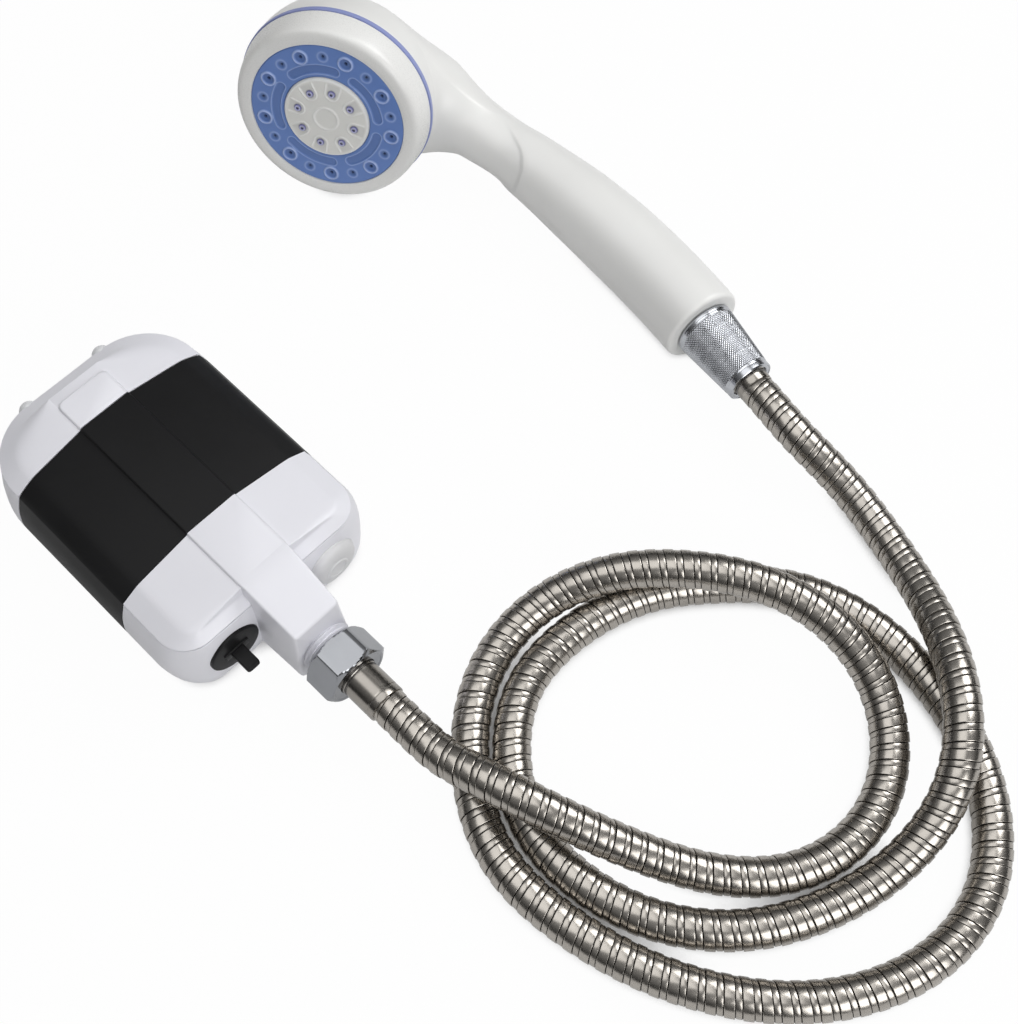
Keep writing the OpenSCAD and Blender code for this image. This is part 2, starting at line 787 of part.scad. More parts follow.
module battery_cradle() {
    color(grey) translate([0, cell_y - cradle_w/2, wall + fit]) difference() {
        union() {
            translate([cradle_x0, 0, 0]) cube([cradle_x1 - cradle_x0, cradle_w, 0.8*cell_r]);
            translate([cradle_x0, 0, 0]) cube([cradle_t, cradle_w, cradle_h]);
            translate([cradle_x1 - cradle_t, 0, 0]) cube([cradle_t, cradle_w, cradle_h]);
        }
        translate([cradle_x0 + cradle_t, cradle_w/2, cell_z - wall - fit]) rotate([0, 90, 0])
            cylinder(r = cell_r + fit, h = cell_l + 2*clear);
    }
}

module circuit_board() {
    board_l = cradle_x1 - cradle_x0;
    color("seagreen") translate([cradle_x0, cell_y - cradle_w/2, board_z]) {
        cube([board_l, cradle_w, board_t]);
        translate([0.14*board_l, 0.25*cradle_w, 0]) cube([9, 9, board_t + 1.6]);
        translate([0.4*board_l, 0.2*cradle_w, 0]) cube([6, 4, board_t + 2]);
        translate([0.63*board_l, 0.6*cradle_w, 0]) cylinder(r = 3, h = board_t + 6);
        translate([0.8*board_l, 0.3*cradle_w, 0]) cube([5, 8, board_t + 2.4]);
    }
}

module switch_body() {
    color(black) difference() {
        translate([switch_x0, control_y - switch_w/2, outlet_z - switch_w/2])
            cube([switch_l, switch_w, switch_w]);
        along_x(switch_x0 + 1, control_y) cylinder(r = plunger_r + run, h = switch_l);
    }
}

module switch_plunger() {
    start = switch_x0 + 1 + button_travel + clear;
    color(grey) along_x(start, control_y)
        cylinder(r = plunger_r, h = switch_x0 + switch_l + plunger_reach - start);
}

// A domed pad with a small ring on its crown
module power_button() {
    back = near_face + button_proud - button_t;
    stem = switch_x0 + switch_l + plunger_reach + clear;
    crown_r = button_ring_r + 0.6;
    color(grey) {
        along_x(back, control_y) difference() {
            union() {
                rotate_extrude() polygon(concat(
                    [[0, 0], [button_r, 0]],
                    [for (a = [0:15:90])
                        [crown_r + (button_r - crown_r)*cos(a), button_t + button_dome*sin(a)]],
                    [[0, button_t + button_dome]]
                ));
                cylinder(r = button_ring_r, h = button_t + button_dome + 0.5);
            }
            translate([0, 0, button_t + button_dome]) cylinder(r = button_ring_r - 1.1, h = 2);
        }
        along_x(stem, control_y) cylinder(r = stem_r, h = back - stem + 1);
    }
}

module charge_socket() {
    color(black) difference() {
        translate([socket_x1 - socket_l, -control_y - socket_w/2, outlet_z - socket_h/2])
            cube([socket_l, socket_w, socket_h]);
        along_x(socket_x1 - socket_l + 1.5, -control_y) cylinder(r = plug_pin_r + run, h = socket_l);
    }
}

module charge_plug() {
    back = near_face + plug_proud - plug_flange;
    front = near_face + plug_proud;
    color(black) {
        along_x(back, -control_y) cylinder(r = plug_r, h = plug_flange);
        along_x(back - plug_stem_l, -control_y) cylinder(r = plug_stem_r, h = plug_stem_l + 0.5);
        along_x(back - plug_stem_l - plug_pin_l, -control_y) cylinder(r = plug_pin_r, h = plug_pin_l + 0.5);
        translate([front - 0.5, -control_y - plug_r + 1.5, outlet_z - 1.2]) cube([1.4, 2*plug_r - 3, 2.4]);
        translate([front - 0.5, -control_y - tab_w/2, outlet_z - tab_t/2])
            cube([tab_l + 0.5 - tab_t/2, tab_w, tab_t]);
        translate([front + tab_l - tab_t/2, -control_y - tab_w/2, outlet_z]) rotate([-90, 0, 0])
            cylinder(r = tab_t/2, h = tab_w);
    }
}

// A hexagon with its corners turned off at both ends
module hex_nut() {
    corner_r = nut_af/sqrt(3);
    bevel = corner_r - nut_af/2;
    length = nut_x1 - nut_x0;
    color(chrome) along_x(nut_x0) difference() {
        intersection() {
            rotate(30) cylinder(r = corner_r, h = length, $fn = 6);
            rotate_extrude() polygon([
                [0, 0], [nut_af/2, 0], [corner_r + 0.2, 0.7*bevel + 0.2],
                [corner_r + 0.2, length - 0.7*bevel - 0.2], [nut_af/2, length], [0, length]
            ]);
        }
        translate([0, 0, -1]) cylinder(r = thread_r + run, h = nut_seat - nut_x0 + 1);
        cylinder(r = ferrule_r + run, h = far_cut);
    }
}

// The washer and the ferrule at each end of the hose, along Z
module washer() {
    difference() {
        cylinder(r = washer_r, h = washer_t);
        translate([0, 0, -1]) cylinder(r = water_r, h = washer_t + 2);
    }
}

module ferrule(length) {
    rotate_extrude() polygon([
        [ferrule_bore, 0], [flange_r, 0], [flange_r, flange_t], [ferrule_r, flange_t],
        [ferrule_r, flange_t + length - 0.5], [ferrule_r - 0.5, flange_t + length],
        [ferrule_bore, flange_t + length]
    ]);
}

module pump_washer() {
    color(black) along_x(washer_x0) washer();
}

module pump_ferrule() {
    color(steel) along_x(flange_x0) ferrule(ferrule_l);
}

module hose() {
    rings = len(rib_stations);
    bores = len(bore_stations);
    outer = [for (i = [0:rings - 1]) ring(rib_frames[i], i%2 == 0 ? hose_d/2 - rib_h : hose_d/2, hose_sides)];
    inner = [for (frame = bore_frames) ring(frame, sleeve_bore_r, hose_sides)];
    first = rings*hose_sides;
    color(steel) polyhedron(
        points = concat(flat(outer), flat(inner)),
        faces = concat(
            skin_faces(rings, hose_sides, 0, false),
            skin_faces(bores, hose_sides, first, true),
            end_faces(0, first, hose_sides, false),
            end_faces((rings - 1)*hose_sides, first + (bores - 1)*hose_sides, hose_sides, true)
        )
    );
}

module hose_liner() {
    count = len(bore_stations);
    outer = [for (frame = bore_frames) ring(frame, liner_r, liner_sides)];
    inner = [for (frame = bore_frames) ring(frame, liner_r - liner_t, liner_sides)];
    first = count*liner_sides;
    color(grey) polyhedron(
        points = concat(flat(outer), flat(inner)),
        faces = concat(
            skin_faces(count, liner_sides, 0, false),
            skin_faces(count, liner_sides, first, true),
            end_faces(0, first, liner_sides, false),
            end_faces(first - liner_sides, 2*first - liner_sides, liner_sides, true)
        )
    );
}

module head_ferrule() {
    color(steel) in_handset() at_handle_end()
        translate([0, 0, nipple_l + washer_t + 2*fit]) ferrule(head_ferrule_l);
}

module head_washer() {
    color(black) in_handset() at_handle_end() translate([0, 0, nipple_l + fit]) washer();
}

module cone_nut() {
    seat = nipple_l + washer_t + flange_t + 2*fit + clear;
    start = 0.4;
    rim = 1.5;
    color(chrome) in_handset() at_handle_end() rotate_extrude() polygon([
        [thread_r + run, start], [cone_r0 - 0.4, start], [cone_r0, start + 0.4], [cone_r0, start + rim],
        [cone_r1, start + cone_l - rim], [cone_r1, start + cone_l - 0.4], [cone_r1 - 0.4, start + cone_l],
        [ferrule_r + run, start + cone_l], [ferrule_r + run, seat], [thread_r + run, seat]
    ]);
}

// Rings along the handle's arc; a share below 0 runs straight back into the head
function handle_frame(share) =
    let (
        a = handle_a0 + max(share, 0)*(handle_a1 - handle_a0),
        back = min(share, 0)*handle_l
    )
    [
        [neck_x + arc_r*(sin(a) - sin(handle_a0)) + back*cos(handle_a0), 0,
            neck_z + arc_r*(cos(handle_a0) - cos(a)) + back*sin(handle_a0)],
        [0, 1, 0],
        [-sin(a), 0, cos(a)]
    ];

module handle_sweep(diameters, count) {
    rings = len(diameters);
    points = flat([for (s = diameters) ring(handle_frame(s[0]), s[1]/2, count)]);
    polyhedron(points = points, faces = concat(
        skin_faces(rings, count, 0, false),
        [[for (k = [0:count - 1]) k], [for (k = [count - 1:-1:0]) (rings - 1)*count + k]]
    ));
}

// The back of the head, turned about the face's axis
module dome(inset) {
    top = dome_top + (inset > 0 ? 1 : 0);
    r = inset > 0 ? collar_r - collar_wall : head_r - 0.1;
    depth = dome_h - inset;
    rotate_extrude() polygon(concat(
        [[0, top], [r, top]],
        [for (a = [0:9:90]) [(r - 0.3)*pow(cos(a), 0.75), dome_top - depth*pow(sin(a), 0.9)]]
    ));
}

module handle_body() {
    bore = [for (share = [-0.13, 0.2, 0.4, 0.6, 0.8, 1.01]) [share, 2*handle_bore_r]];
    color(handset_white) in_handset() difference() {
        union() {
            difference() {
                union() {
                    dome(0);
                    handle_sweep(handle_stations, handle_sides);
                }
                dome(2.6);
                handle_sweep(bore, handle_sides);
            }
            translate([0, 0, dome_top - collar_root]) difference() {
                cylinder(r = collar_r, h = collar_root - dome_top - bezel_h + 4.2);
                translate([0, 0, -1]) cylinder(r = collar_r - collar_wall, h = far_cut);
            }
            translate([0, 0, dome_top - dome_h + 1])
                cylinder(r = post_r, h = post_top - dome_top + dome_h - 1);
        }
        translate([0, 0, post_top - 12]) cylinder(r = 1.5 + fit/2, h = far_cut);
        at_handle_end() translate([0, 0, -nipple_in - fit]) cylinder(r = socket_r + fit/2, h = nipple_in + 5);
        translate([0, 0, -bezel_h + 2]) rotate_extrude() translate([collar_r + 0.1, 0])
            circle(r = 0.55, $fn = 24);
    }
}

module handle_nipple() {
    color(handset_white) in_handset() at_handle_end() {
        difference() {
            translate([0, 0, -nipple_in]) cylinder(r = socket_r, h = nipple_in + 0.5);
            translate([0, 0, -nipple_in - 1]) cylinder(r = water_r, h = nipple_in + 3);
        }
        threaded_tube(thread_r, nipple_l, water_r);
    }
}

module seam_ring() {
    color(blue) in_handset() rotate_extrude() polygon([
        [collar_r + fit/2, seam_z0], [head_r - 0.2, seam_z0], [head_r, seam_z0 + 0.2],
        [head_r, seam_z1 - 0.2], [head_r - 0.2, seam_z1], [collar_r + fit/2, seam_z1]
    ]);
}

module spray_bezel() {
    back = seam_z1 + clear;
    color(handset_white) in_handset() rotate_extrude() polygon([
        [ring_r + fit, -face_drop - ring_t - fit], [ring_r + fit, -0.3], [ring_r + 0.4, 0], [head_r - 4.6, 0],
        [head_r - 3.2, -0.5], [head_r - 2.2, -1.8], [head_r - 1.5, -4], [head_r - 0.4, back + 1],
        [head_r - 0.5, back], [collar_r + bezel_gap, back], [collar_r + bezel_gap, plate_top + fit],
        [ring_r - ledge_w, plate_top + fit], [ring_r - ledge_w, -face_drop - ring_t - fit]
    ]);
}

// Places on a circle, from the handle's side
module around(count, orbit, first = 0) {
    for (k = [0:count - 1]) rotate(first + 360*k/count) translate([orbit, 0, 0]) children();
}

module nozzle_ring() {
    pitch = 360/ring_nozzles;
    slot_angle = 300/ring_slots;
    color(blue) in_handset() translate([0, 0, -face_drop - ring_t]) difference() {
        union() {
            difference() {
                cylinder(r = ring_r, h = ring_t);
                translate([0, 0, -1]) cylinder(r = disc_r + fit, h = ring_t + 2);
            }
            around(ring_nozzles, nozzle_orbit, 5) cylinder(r = 3, h = ring_t + 0.8);
            around(ring_nozzles, nozzle_orbit, 5 + pitch/2) cylinder(r = 1.4, h = ring_t + 0.6);
        }
        around(ring_nozzles, nozzle_orbit, 5) {
            translate([0, 0, ring_t]) cylinder(r = 2.2, h = 2);
            translate([0, 0, -1]) cylinder(r = 0.8, h = ring_t + 3);
        }
        around(ring_nozzles, nozzle_orbit, 5 + pitch/2) translate([0, 0, -1])
            cylinder(r = 0.6, h = ring_t + 3);
        for (k = [0:ring_slots - 1]) rotate(16 + 360*k/ring_slots) translate([0, 0, ring_t - 0.6])
            rotate_extrude(angle = slot_angle) translate([arc_r0, 0]) square([arc_w, 2]);
    }
}

module centre_disc() {
    color(handset_white) in_handset() difference() {
        union() {
            rotate_extrude() polygon([
                [0, -2.4], [disc_r, -2.4], [disc_r, 1.2], [disc_r - 1, 1.9], [8, 2.4], [0, 2.4]
            ]);
            translate([0, 0, 2]) cylinder(r = 5.6, h = 0.9);
        }
        translate([0, 0, 2.4]) cylinder(r = 4.4, h = 2);
        translate([0, 0, -3]) cylinder(r = face_head_r + 0.8, h = 2);
        around(disc_nozzles, disc_orbit) translate([0, 0, -4]) cylinder(r = 1.6, h = 10);
    }
}

module centre_nozzles() {
    color(blue) in_handset() difference() {
        union() {
            translate([0, 0, -3.2]) difference() {
                cylinder(r = disc_orbit + 3, h = 0.7);
                translate([0, 0, -1]) cylinder(r = face_head_r + 1.8, h = 3);
            }
            around(disc_nozzles, disc_orbit) translate([0, 0, -3.2]) cylinder(r = 1.5, h = 6.3);
        }
        around(disc_nozzles, disc_orbit) translate([0, 0, -4]) cylinder(r = 0.5, h = 10);
    }
}

module face_plate() {
    color(grey) in_handset() translate([0, 0, plate_top - plate_t]) difference() {
        cylinder(r = plate_r, h = plate_t);
        translate([0, 0, -1]) cylinder(r = post_r + run, h = plate_t + 2);
        around(ring_nozzles, nozzle_orbit, 5) translate([0, 0, -1]) cylinder(r = 1.2, h = plate_t + 2);
        around(disc_nozzles, disc_orbit) translate([0, 0, -1]) cylinder(r = 0.8, h = plate_t + 2);
    }
}

module face_screw() {
    color(steel) in_handset() translate([0, 0, post_top]) {
        translate([0, 0, fit]) cylinder(r = face_head_r, h = 1.9);
        translate([0, 0, -11]) cylinder(r = 1.5, h = 11.5);
    }
}

module selector_disc() {
    color(grey) in_handset() translate([0, 0, selector_top - selector_t]) difference() {
        cylinder(r = collar_r - collar_wall - fit, h = selector_t);
        translate([0, 0, -1]) cylinder(r = post_r + fit, h = selector_t + 2);
        around(ring_slots, nozzle_orbit) translate([0, 0, -1]) cylinder(r = 3, h = selector_t + 2);
        around(ring_slots, disc_orbit, 180/ring_slots) translate([0, 0, -1])
            cylinder(r = 2, h = selector_t + 2);
    }
}

module head_seal() {
    color(black) in_handset() translate([0, 0, -bezel_h + 2]) rotate_extrude()
        translate([collar_r + 0.1, 0]) circle(r = 0.5, $fn = 24);
}

rear_shell();
front_shell();
grip_band();
shell_seal();
shell_screws();
feet();
intake_grille();
filter_foam();
pump_chamber();
impeller();
motor_shaft();
shaft_seal();
bulkhead();
motor();
delivery_tube();
outlet_spout();
battery_cell();
battery_cradle();
circuit_board();
switch_body();
switch_plunger();
power_button();
charge_socket();
charge_plug();
hex_nut();
pump_washer();
pump_ferrule();
hose();
hose_liner();
head_ferrule();
head_washer();
cone_nut();
handle_body();
handle_nipple();
seam_ring();
spray_bezel();
nozzle_ring();
centre_disc();
centre_nozzles();
face_plate();
face_screw();
selector_disc();
head_seal();
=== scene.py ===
"""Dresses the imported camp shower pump: moulded shells, ribbed hose, hand shower and their finishes."""

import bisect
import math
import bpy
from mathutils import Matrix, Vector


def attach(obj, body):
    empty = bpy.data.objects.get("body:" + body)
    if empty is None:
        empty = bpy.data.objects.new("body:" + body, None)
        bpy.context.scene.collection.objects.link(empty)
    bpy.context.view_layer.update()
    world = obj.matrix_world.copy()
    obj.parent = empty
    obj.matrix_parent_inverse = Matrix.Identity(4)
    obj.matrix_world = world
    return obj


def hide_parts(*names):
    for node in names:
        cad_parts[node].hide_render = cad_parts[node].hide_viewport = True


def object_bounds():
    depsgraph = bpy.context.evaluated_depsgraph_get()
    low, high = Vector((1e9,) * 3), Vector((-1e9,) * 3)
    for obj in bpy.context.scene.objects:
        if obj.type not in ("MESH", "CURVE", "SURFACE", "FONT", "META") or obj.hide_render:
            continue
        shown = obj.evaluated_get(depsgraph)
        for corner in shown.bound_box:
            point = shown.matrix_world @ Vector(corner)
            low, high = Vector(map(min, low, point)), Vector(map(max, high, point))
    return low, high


bl_info = {
    "name": "Camp shower pump",
    "version": (1, 0, 0),
    "blender": (4, 5, 0),
    "location": "View3D > Sidebar > Shower pump",
    "description": "Builds the finished pieces of a camp shower pump over its packed model",
    "category": "Object",
}

import bmesh
import bpy
import numpy
from mathutils import Matrix, Vector

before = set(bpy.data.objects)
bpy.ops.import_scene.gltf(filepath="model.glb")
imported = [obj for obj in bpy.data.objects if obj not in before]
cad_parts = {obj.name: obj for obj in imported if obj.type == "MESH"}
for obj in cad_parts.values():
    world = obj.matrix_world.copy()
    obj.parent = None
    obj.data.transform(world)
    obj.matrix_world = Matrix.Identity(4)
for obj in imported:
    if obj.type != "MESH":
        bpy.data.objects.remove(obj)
cad_box = [list(corner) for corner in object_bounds()]

MM = 0.001

# Pump body, in millimetres, as packed
BODY_L = 118.5
SEAM_W = 84.0
FAR_R = 25.0
NEAR_R = 12.0
WALL = 3.2
SEAM_Z = 36.0
SEAM_GAP = 0.4
CROWN_Z = 45.5
PANEL_Z = 46.5
PANEL_HALF = 11.0
PANEL_X0 = -45.45
BAND_X0 = -31.5
BAND_X1 = 27.5
BAND_T = 1.6
NEAR_FACE = 60.0
OUTLET_Z = 19.5
SPOUT_X0 = 54.0
SPOUT_X1 = 81.25
CONTROL_Y = 23.1

# The recess that the band lies in: play at its ends, depth, and the half width and height it scales with
BAND_GAP = 0.1
BAND_DROP = BAND_T + 0.15
BODY_HALF = 46.0
SEAM_TO_TOP = 10.0

# Swell of the rear shell by height: at the sides, at the intake end, at the outlet end
SIDE_SWELL = [(0, -6), (2.5, -1.5), (9, 2.4), (19.08, 4), (27, 3), (36, 0)]
FAR_SWELL = [(0, -6), (2.5, -2.5), (9, 0.5), (19.08, 1.5), (27, 1), (36, 0)]
NEAR_SWELL = [(0, -2.5), (2.5, -0.5), (9, 0.75), (19.08, 0.75), (27, 0.75), (36, 0)]
# Heights of the points up the pump's side
SIDE_HEIGHTS = [0, 0.2, 0.5, 0.9, 1.4, 2, 2.8, 4, 5.5, 7.5, 10, 13, 16, 19, 22, 25, 28, 30.5, 33, 34.6]
# The front shell's knee: height, side, intake end, outlet end, and its share of the wall inside
KNEE = (40.56, -7.5, -7.0, -3.5)
KNEE_INSET = 0.8
# The ends of the front shell's top, and the corners there
CROWN_X0 = -49.75
CROWN_X1 = 55.75
CROWN_CORNER = 0.02
# Steps round a corner of the shells, and the points they make
ARC = 14
CORNER = ARC + 1

# Hand shower: where its face lies and how it is turned
HANDSET = (
    Matrix.Translation((-75.6, 148.3, 44.117))
    @ Matrix.Rotation(math.radians(27.2), 4, "Z")
    @ Matrix.Rotation(math.radians(12.35), 4, "Y")
    @ Matrix.Rotation(math.radians(74.5), 4, "X")
)
# The domed back of the head, and the powers of its section
HEAD_R = 40.4
DOME_R = HEAD_R - 0.4
DOME_TOP = -14.0
DOME_H = 35.0
DOME_ACROSS = 8 / 3
DOME_DEEP = 20 / 9
# The circles of the spray face, and how deep its plates go
RING_R = 31.9
RING_INNER_R = 17.82
NOZZLE_R = 27.0
SLOT_R = 21.4
DISC_R = 17.7
TIP_R = 12.0
PLATE_BACK = -2.4
# The handle: where it starts, its length, and the slopes at its two ends
NECK_X = 36.0
NECK_Z = -36.0
HANDLE_L = 152.0
SLOPE_0 = math.radians(15)
SLOPE_1 = math.radians(41)
ARC_R = HANDLE_L / (SLOPE_1 - SLOPE_0)
# Share of the handle's length, and the diameter there
HANDLE_STATIONS = [
    (-0.2, 0), (-0.197, 5.9), (-0.19, 10.6), (-0.17, 17.9), (-0.14, 24.5), (-0.1, 29.9), (-0.05, 33),
    (0, 34), (0.035, 32.1), (0.07, 29.5), (0.15, 25.8),
    (0.24, 25), (0.31, 26.8), (0.4, 28.9), (0.53, 31.9), (0.7, 33.6), (0.88, 33.6), (0.965, 33.5),
    (1, 33.3),
]
ROOT = HANDLE_STATIONS[0][0]
# The curved edge where the grip starts: degrees from the handle's top, and share of its length
THUMB_EDGE = [
    (0, 0.35), (25, 0.345), (42, 0.325), (51, 0.31), (63, 0.275), (78, 0.235), (96, 0.19), (180, 0.15),
]

# Hose: its radius, that of its crests, where it leaves the pump, and where it ends past the handle
HOSE_R = 7.0
CREST_R = 6.95
HOSE_X0 = 112.95
HOSE_END = 33.9
# How high it lies on the floor and over itself, and the guides of its curve
LIE = 7.1
OVER = 23.0
ROUTE = [
    (156.9, 4.5, 23.2), (178.9, 10.5, 23.6), (204.8, 22.3, 13.5), (231.4, 36, LIE), (253.1, 56.2, LIE),
    (260.8, 84.6, LIE), (252.7, 111.1, LIE), (231.7, 129.2, 11), (205.8, 133.1, 20),
    (179.1, 126.7, OVER), (155.6, 111.8, OVER), (135.1, 92.4, 21.3), (122.1, 69.4, 11.2),
    (121.9, 42.6, LIE), (134.4, 17.8, LIE), (157.5, -2.5, LIE), (180.9, -11.4, LIE), (207.3, -9.7, LIE),
    (233.9, -3.2, LIE), (258.6, 8.8, LIE), (280.7, 26.1, LIE), (297, 48.8, LIE), (305, 74.3, LIE),
    (302.2, 101, LIE), (285, 124.4, LIE), (261.4, 139.1, LIE), (234.2, 146.3, LIE), (207.3, 146.7, LIE),
    (181.7, 138.1, LIE), (162.4, 118.9, LIE), (145.6, 98.6, LIE), (137.2, 70.6, LIE),
    (137.4, 41.7, LIE), (152.7, 19.4, LIE), (175.5, 4.5, LIE), (201.3, 3.6, LIE), (227.2, 10.7, LIE),
    (250.3, 27.8, LIE), (265.9, 51.3, LIE), (274.6, 78.4, LIE), (275.7, 104.3, 13),
    (266.9, 126.5, OVER), (247, 147.7, OVER), (224.8, 164.9, 13), (199.7, 176.7, LIE),
    (172.7, 184.2, 8.5),
]
# One turn of the wound strip: share of the pitch, and how far below the crest
STRIP = [
    (0.0, 0.6), (0.02, 0.5), (0.032, 0.1), (0.05, 0.02), (0.08, 0.0), (0.54, 0.0), (0.58, 0.03), (0.595, 0.1),
    (0.605, 0.6), (0.64, 0.62), (0.655, 0.34), (0.68, 0.28), (0.94, 0.28), (0.97, 0.34),
]

# Where the camera stands and what it looks at, in metres
CAMERA_AT = (0.2595, -0.0881, 0.5097)
CAMERA_AIM = (0.0852, 0.0892, 0.0)


def paint(red, green, blue):
    """A colour as light, from the 0 to 255 values seen on a screen."""
    return tuple(
        v / 12.92 if v <= 0.04045 else ((v + 0.055) / 1.055) ** 2.4
        for v in (red / 255, green / 255, blue / 255)
    )


def smooth(table, place):
    """A value between rows of (place, value), on a curve that doesn't overshoot."""
    if place <= table[0][0]:
        return table[0][1]
    if place >= table[-1][0]:
        return table[-1][1]
    slopes = [(b[1] - a[1]) / (b[0] - a[0]) for a, b in zip(table, table[1:])]
    tangents = [slopes[0]]
    for before, after in zip(slopes, slopes[1:]):
        flat = before * after <= 0
        tangents.append(0.0 if flat else 2 * before * after / (before + after))
    tangents.append(slopes[-1])
    row = bisect.bisect_right([entry[0] for entry in table], place) - 1
    (x0, y0), (x1, y1) = table[row], table[row + 1]
    step = x1 - x0
    t = (place - x0) / step
    return (
        (2 * t**3 - 3 * t * t + 1) * y0
        + (t**3 - 2 * t * t + t) * step * tangents[row]
        + (3 * t * t - 2 * t**3) * y1
        + (t**3 - t * t) * step * tangents[row + 1]
    )


def ramp(low, high, value):
    """0 below low, 1 above high and a soft step between."""
    t = min(max((value - low) / (high - low), 0.0), 1.0)
    return t * t * (3 - 2 * t)


def fall(low, high, value):
    """1 below low, 0 above high and a soft step between."""
    return 1 - ramp(low, high, value)


def bell(middle, width, value):
    """1 at the middle, falling off over the width."""
    return math.exp(-(((value - middle) / width) ** 2))


def along_x(x, y=0.0, z=OUTLET_Z):
    """Places a turned form with its axis along the pump."""
    return Matrix.Translation((x, y, z)) @ Matrix.Rotation(math.radians(90), 4, "Y")


def handle_point(share):
    """A point on the middle of the handle, and the slope there."""
    slope = SLOPE_0 + max(share, 0.0) * (SLOPE_1 - SLOPE_0)
    back = min(share, 0.0) * HANDLE_L
    x = NECK_X + ARC_R * (math.sin(slope) - math.sin(SLOPE_0)) + back * math.cos(SLOPE_0)
    z = NECK_Z + ARC_R * (math.cos(SLOPE_0) - math.cos(slope)) + back * math.sin(SLOPE_0)
    return Vector((x, 0, z)), slope


def handle_end():
    """Places a turned form on the end of the handle."""
    point, slope = handle_point(1.0)
    return HANDSET @ Matrix.Translation(point) @ Matrix.Rotation(math.pi / 2 - slope, 4, "Y")


def circle(r, h, sides):
    """Points once round a circle at a height."""
    angles = [2 * math.pi * k / sides for k in range(sides)]
    return [(r * math.cos(a), r * math.sin(a), h) for a in angles]


def quads(levels, count, loop=False):
    """Faces between neighbouring rings of equally many points."""
    faces = []
    for i in range(levels if loop else levels - 1):
        a = i * count
        b = (i + 1) % levels * count
        for k in range(count):
            n = (k + 1) % count
            faces.append((a + k, a + n, b + n, b + k))
    return faces


class Form:
    """Points and faces of one piece, in millimetres, and a painted-light value for each point: low for
    painted shade, high for painted highlight.
    """

    def __init__(self):
        self.points = []
        self.faces = []
        self.painted_lights = []

    def add(self, points, faces, place=None, painted_lights=None):
        """Adds points and faces, moved to a place, with a painted-light value for each point."""
        first = len(self.points)
        self.points += [place @ Vector(p) if place else Vector(p) for p in points]
        self.faces += [tuple(first + k for k in face) for face in faces]
        self.painted_lights += list(painted_lights) if painted_lights else [0.5] * len(points)
        return self

    def loft(self, rings, place=None, painted_lights=None, loop=False):
        """Joins rings of equally many points; the ends are closed, or joined where it is a loop."""
        count = len(rings[0])
        points = [p for ring in rings for p in ring]
        faces = quads(len(rings), count, loop)
        if not loop:
            faces.append(tuple(range(count)))
            faces.append(tuple(range(len(points) - count, len(points))))
        return self.add(points, faces, place, painted_lights)

    def turn(self, profile, place=None, sides=72, loop=False, painted_lights=None):
        """Turns a profile of (radius, height) about Z."""
        rings = [circle(r, h, sides) for r, h in profile]
        spread = [t for t in painted_lights for _ in range(sides)] if painted_lights else None
        return self.loft(rings, place, spread, loop)

    def mesh(self, name):
        """The cleaned mesh, in metres."""
        mesh = bpy.data.meshes.new(name)
        mesh.from_pydata([p * MM for p in self.points], [], self.faces)
        # Painted light: each point's value, which some finishes turn into painted shade and painted
        # highlights
        tone = mesh.attributes.new("tone", "FLOAT", "POINT")
        tone.data.foreach_set("value", self.painted_lights)
        clean = bmesh.new()
        clean.from_mesh(mesh)
        bmesh.ops.remove_doubles(clean, verts=clean.verts, dist=1e-6)
        bmesh.ops.dissolve_degenerate(clean, edges=clean.edges, dist=1e-6)
        bmesh.ops.recalc_face_normals(clean, faces=clean.faces)
        clean.to_mesh(mesh)
        clean.free()
        return mesh


def rounded(corners, radii, steps=6):
    """A polygon whose corners are rounded, each by its own radius."""
    points = []
    for k, corner in enumerate(corners):
        p = Vector(corner)
        before = Vector(corners[k - 1]) - p
        after = Vector(corners[(k + 1) % len(corners)]) - p
        start = p + before.normalized() * min(radii[k], before.length * 0.48)
        end = p + after.normalized() * min(radii[k], after.length * 0.48)
        for i in range(steps + 1):
            t = i / steps
            points.append((1 - t) ** 2 * start + 2 * t * (1 - t) * p + t * t * end)
    return points


def finish_mesh(mesh, sharp):
    """Smooth shading that breaks at edges sharper than the angle."""
    mesh.polygons.foreach_set("use_smooth", [True] * len(mesh.polygons))
    mesh.set_sharp_from_angle(angle=math.radians(sharp))


def make_piece(name, form, body, material, stands_for, sharp=35.0):
    """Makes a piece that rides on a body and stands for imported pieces."""
    piece = bpy.data.objects.new(name, form.mesh(name))
    bpy.context.scene.collection.objects.link(piece)
    finish_mesh(piece.data, sharp)
    piece.data.materials.append(material)
    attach(piece, body)
    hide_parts(*stands_for)
    return piece


def settle(piece, sharp):
    """Turns a piece's modifiers into plain mesh."""
    graph = bpy.context.evaluated_depsgraph_get()
    mesh = bpy.data.meshes.new_from_object(piece.evaluated_get(graph))
    piece.modifiers.clear()
    old = piece.data
    piece.data = mesh
    bpy.data.meshes.remove(old)
    finish_mesh(mesh, sharp)


def cut(piece, form, sharp=35.0):
    """Cuts a form out of a piece."""
    tool = bpy.data.objects.new("cutter", form.mesh("cutter"))
    bpy.context.scene.collection.objects.link(tool)
    change = piece.modifiers.new("Openings", "BOOLEAN")
    change.object = tool
    change.operation = "DIFFERENCE"
    change.solver = "EXACT"
    settle(piece, sharp)
    mesh = tool.data
    bpy.data.objects.remove(tool)
    bpy.data.meshes.remove(mesh)
    if len(piece.data.polygons) < 50:
        raise RuntimeError(f"the openings of {piece.name} were not cut")


class Signal:
    """A shader value that Python's operators work on."""

    def __init__(self, board, socket):
        self.board = board
        self.socket = socket

    def __add__(self, other):
        return self.board.maths("ADD", self, other)

    __radd__ = __add__

    def __sub__(self, other):
        return self.board.maths("SUBTRACT", self, other)

    def __rsub__(self, other):
        return self.board.maths("SUBTRACT", other, self)

    def __mul__(self, other):
        return self.board.maths("MULTIPLY", self, other)

    __rmul__ = __mul__


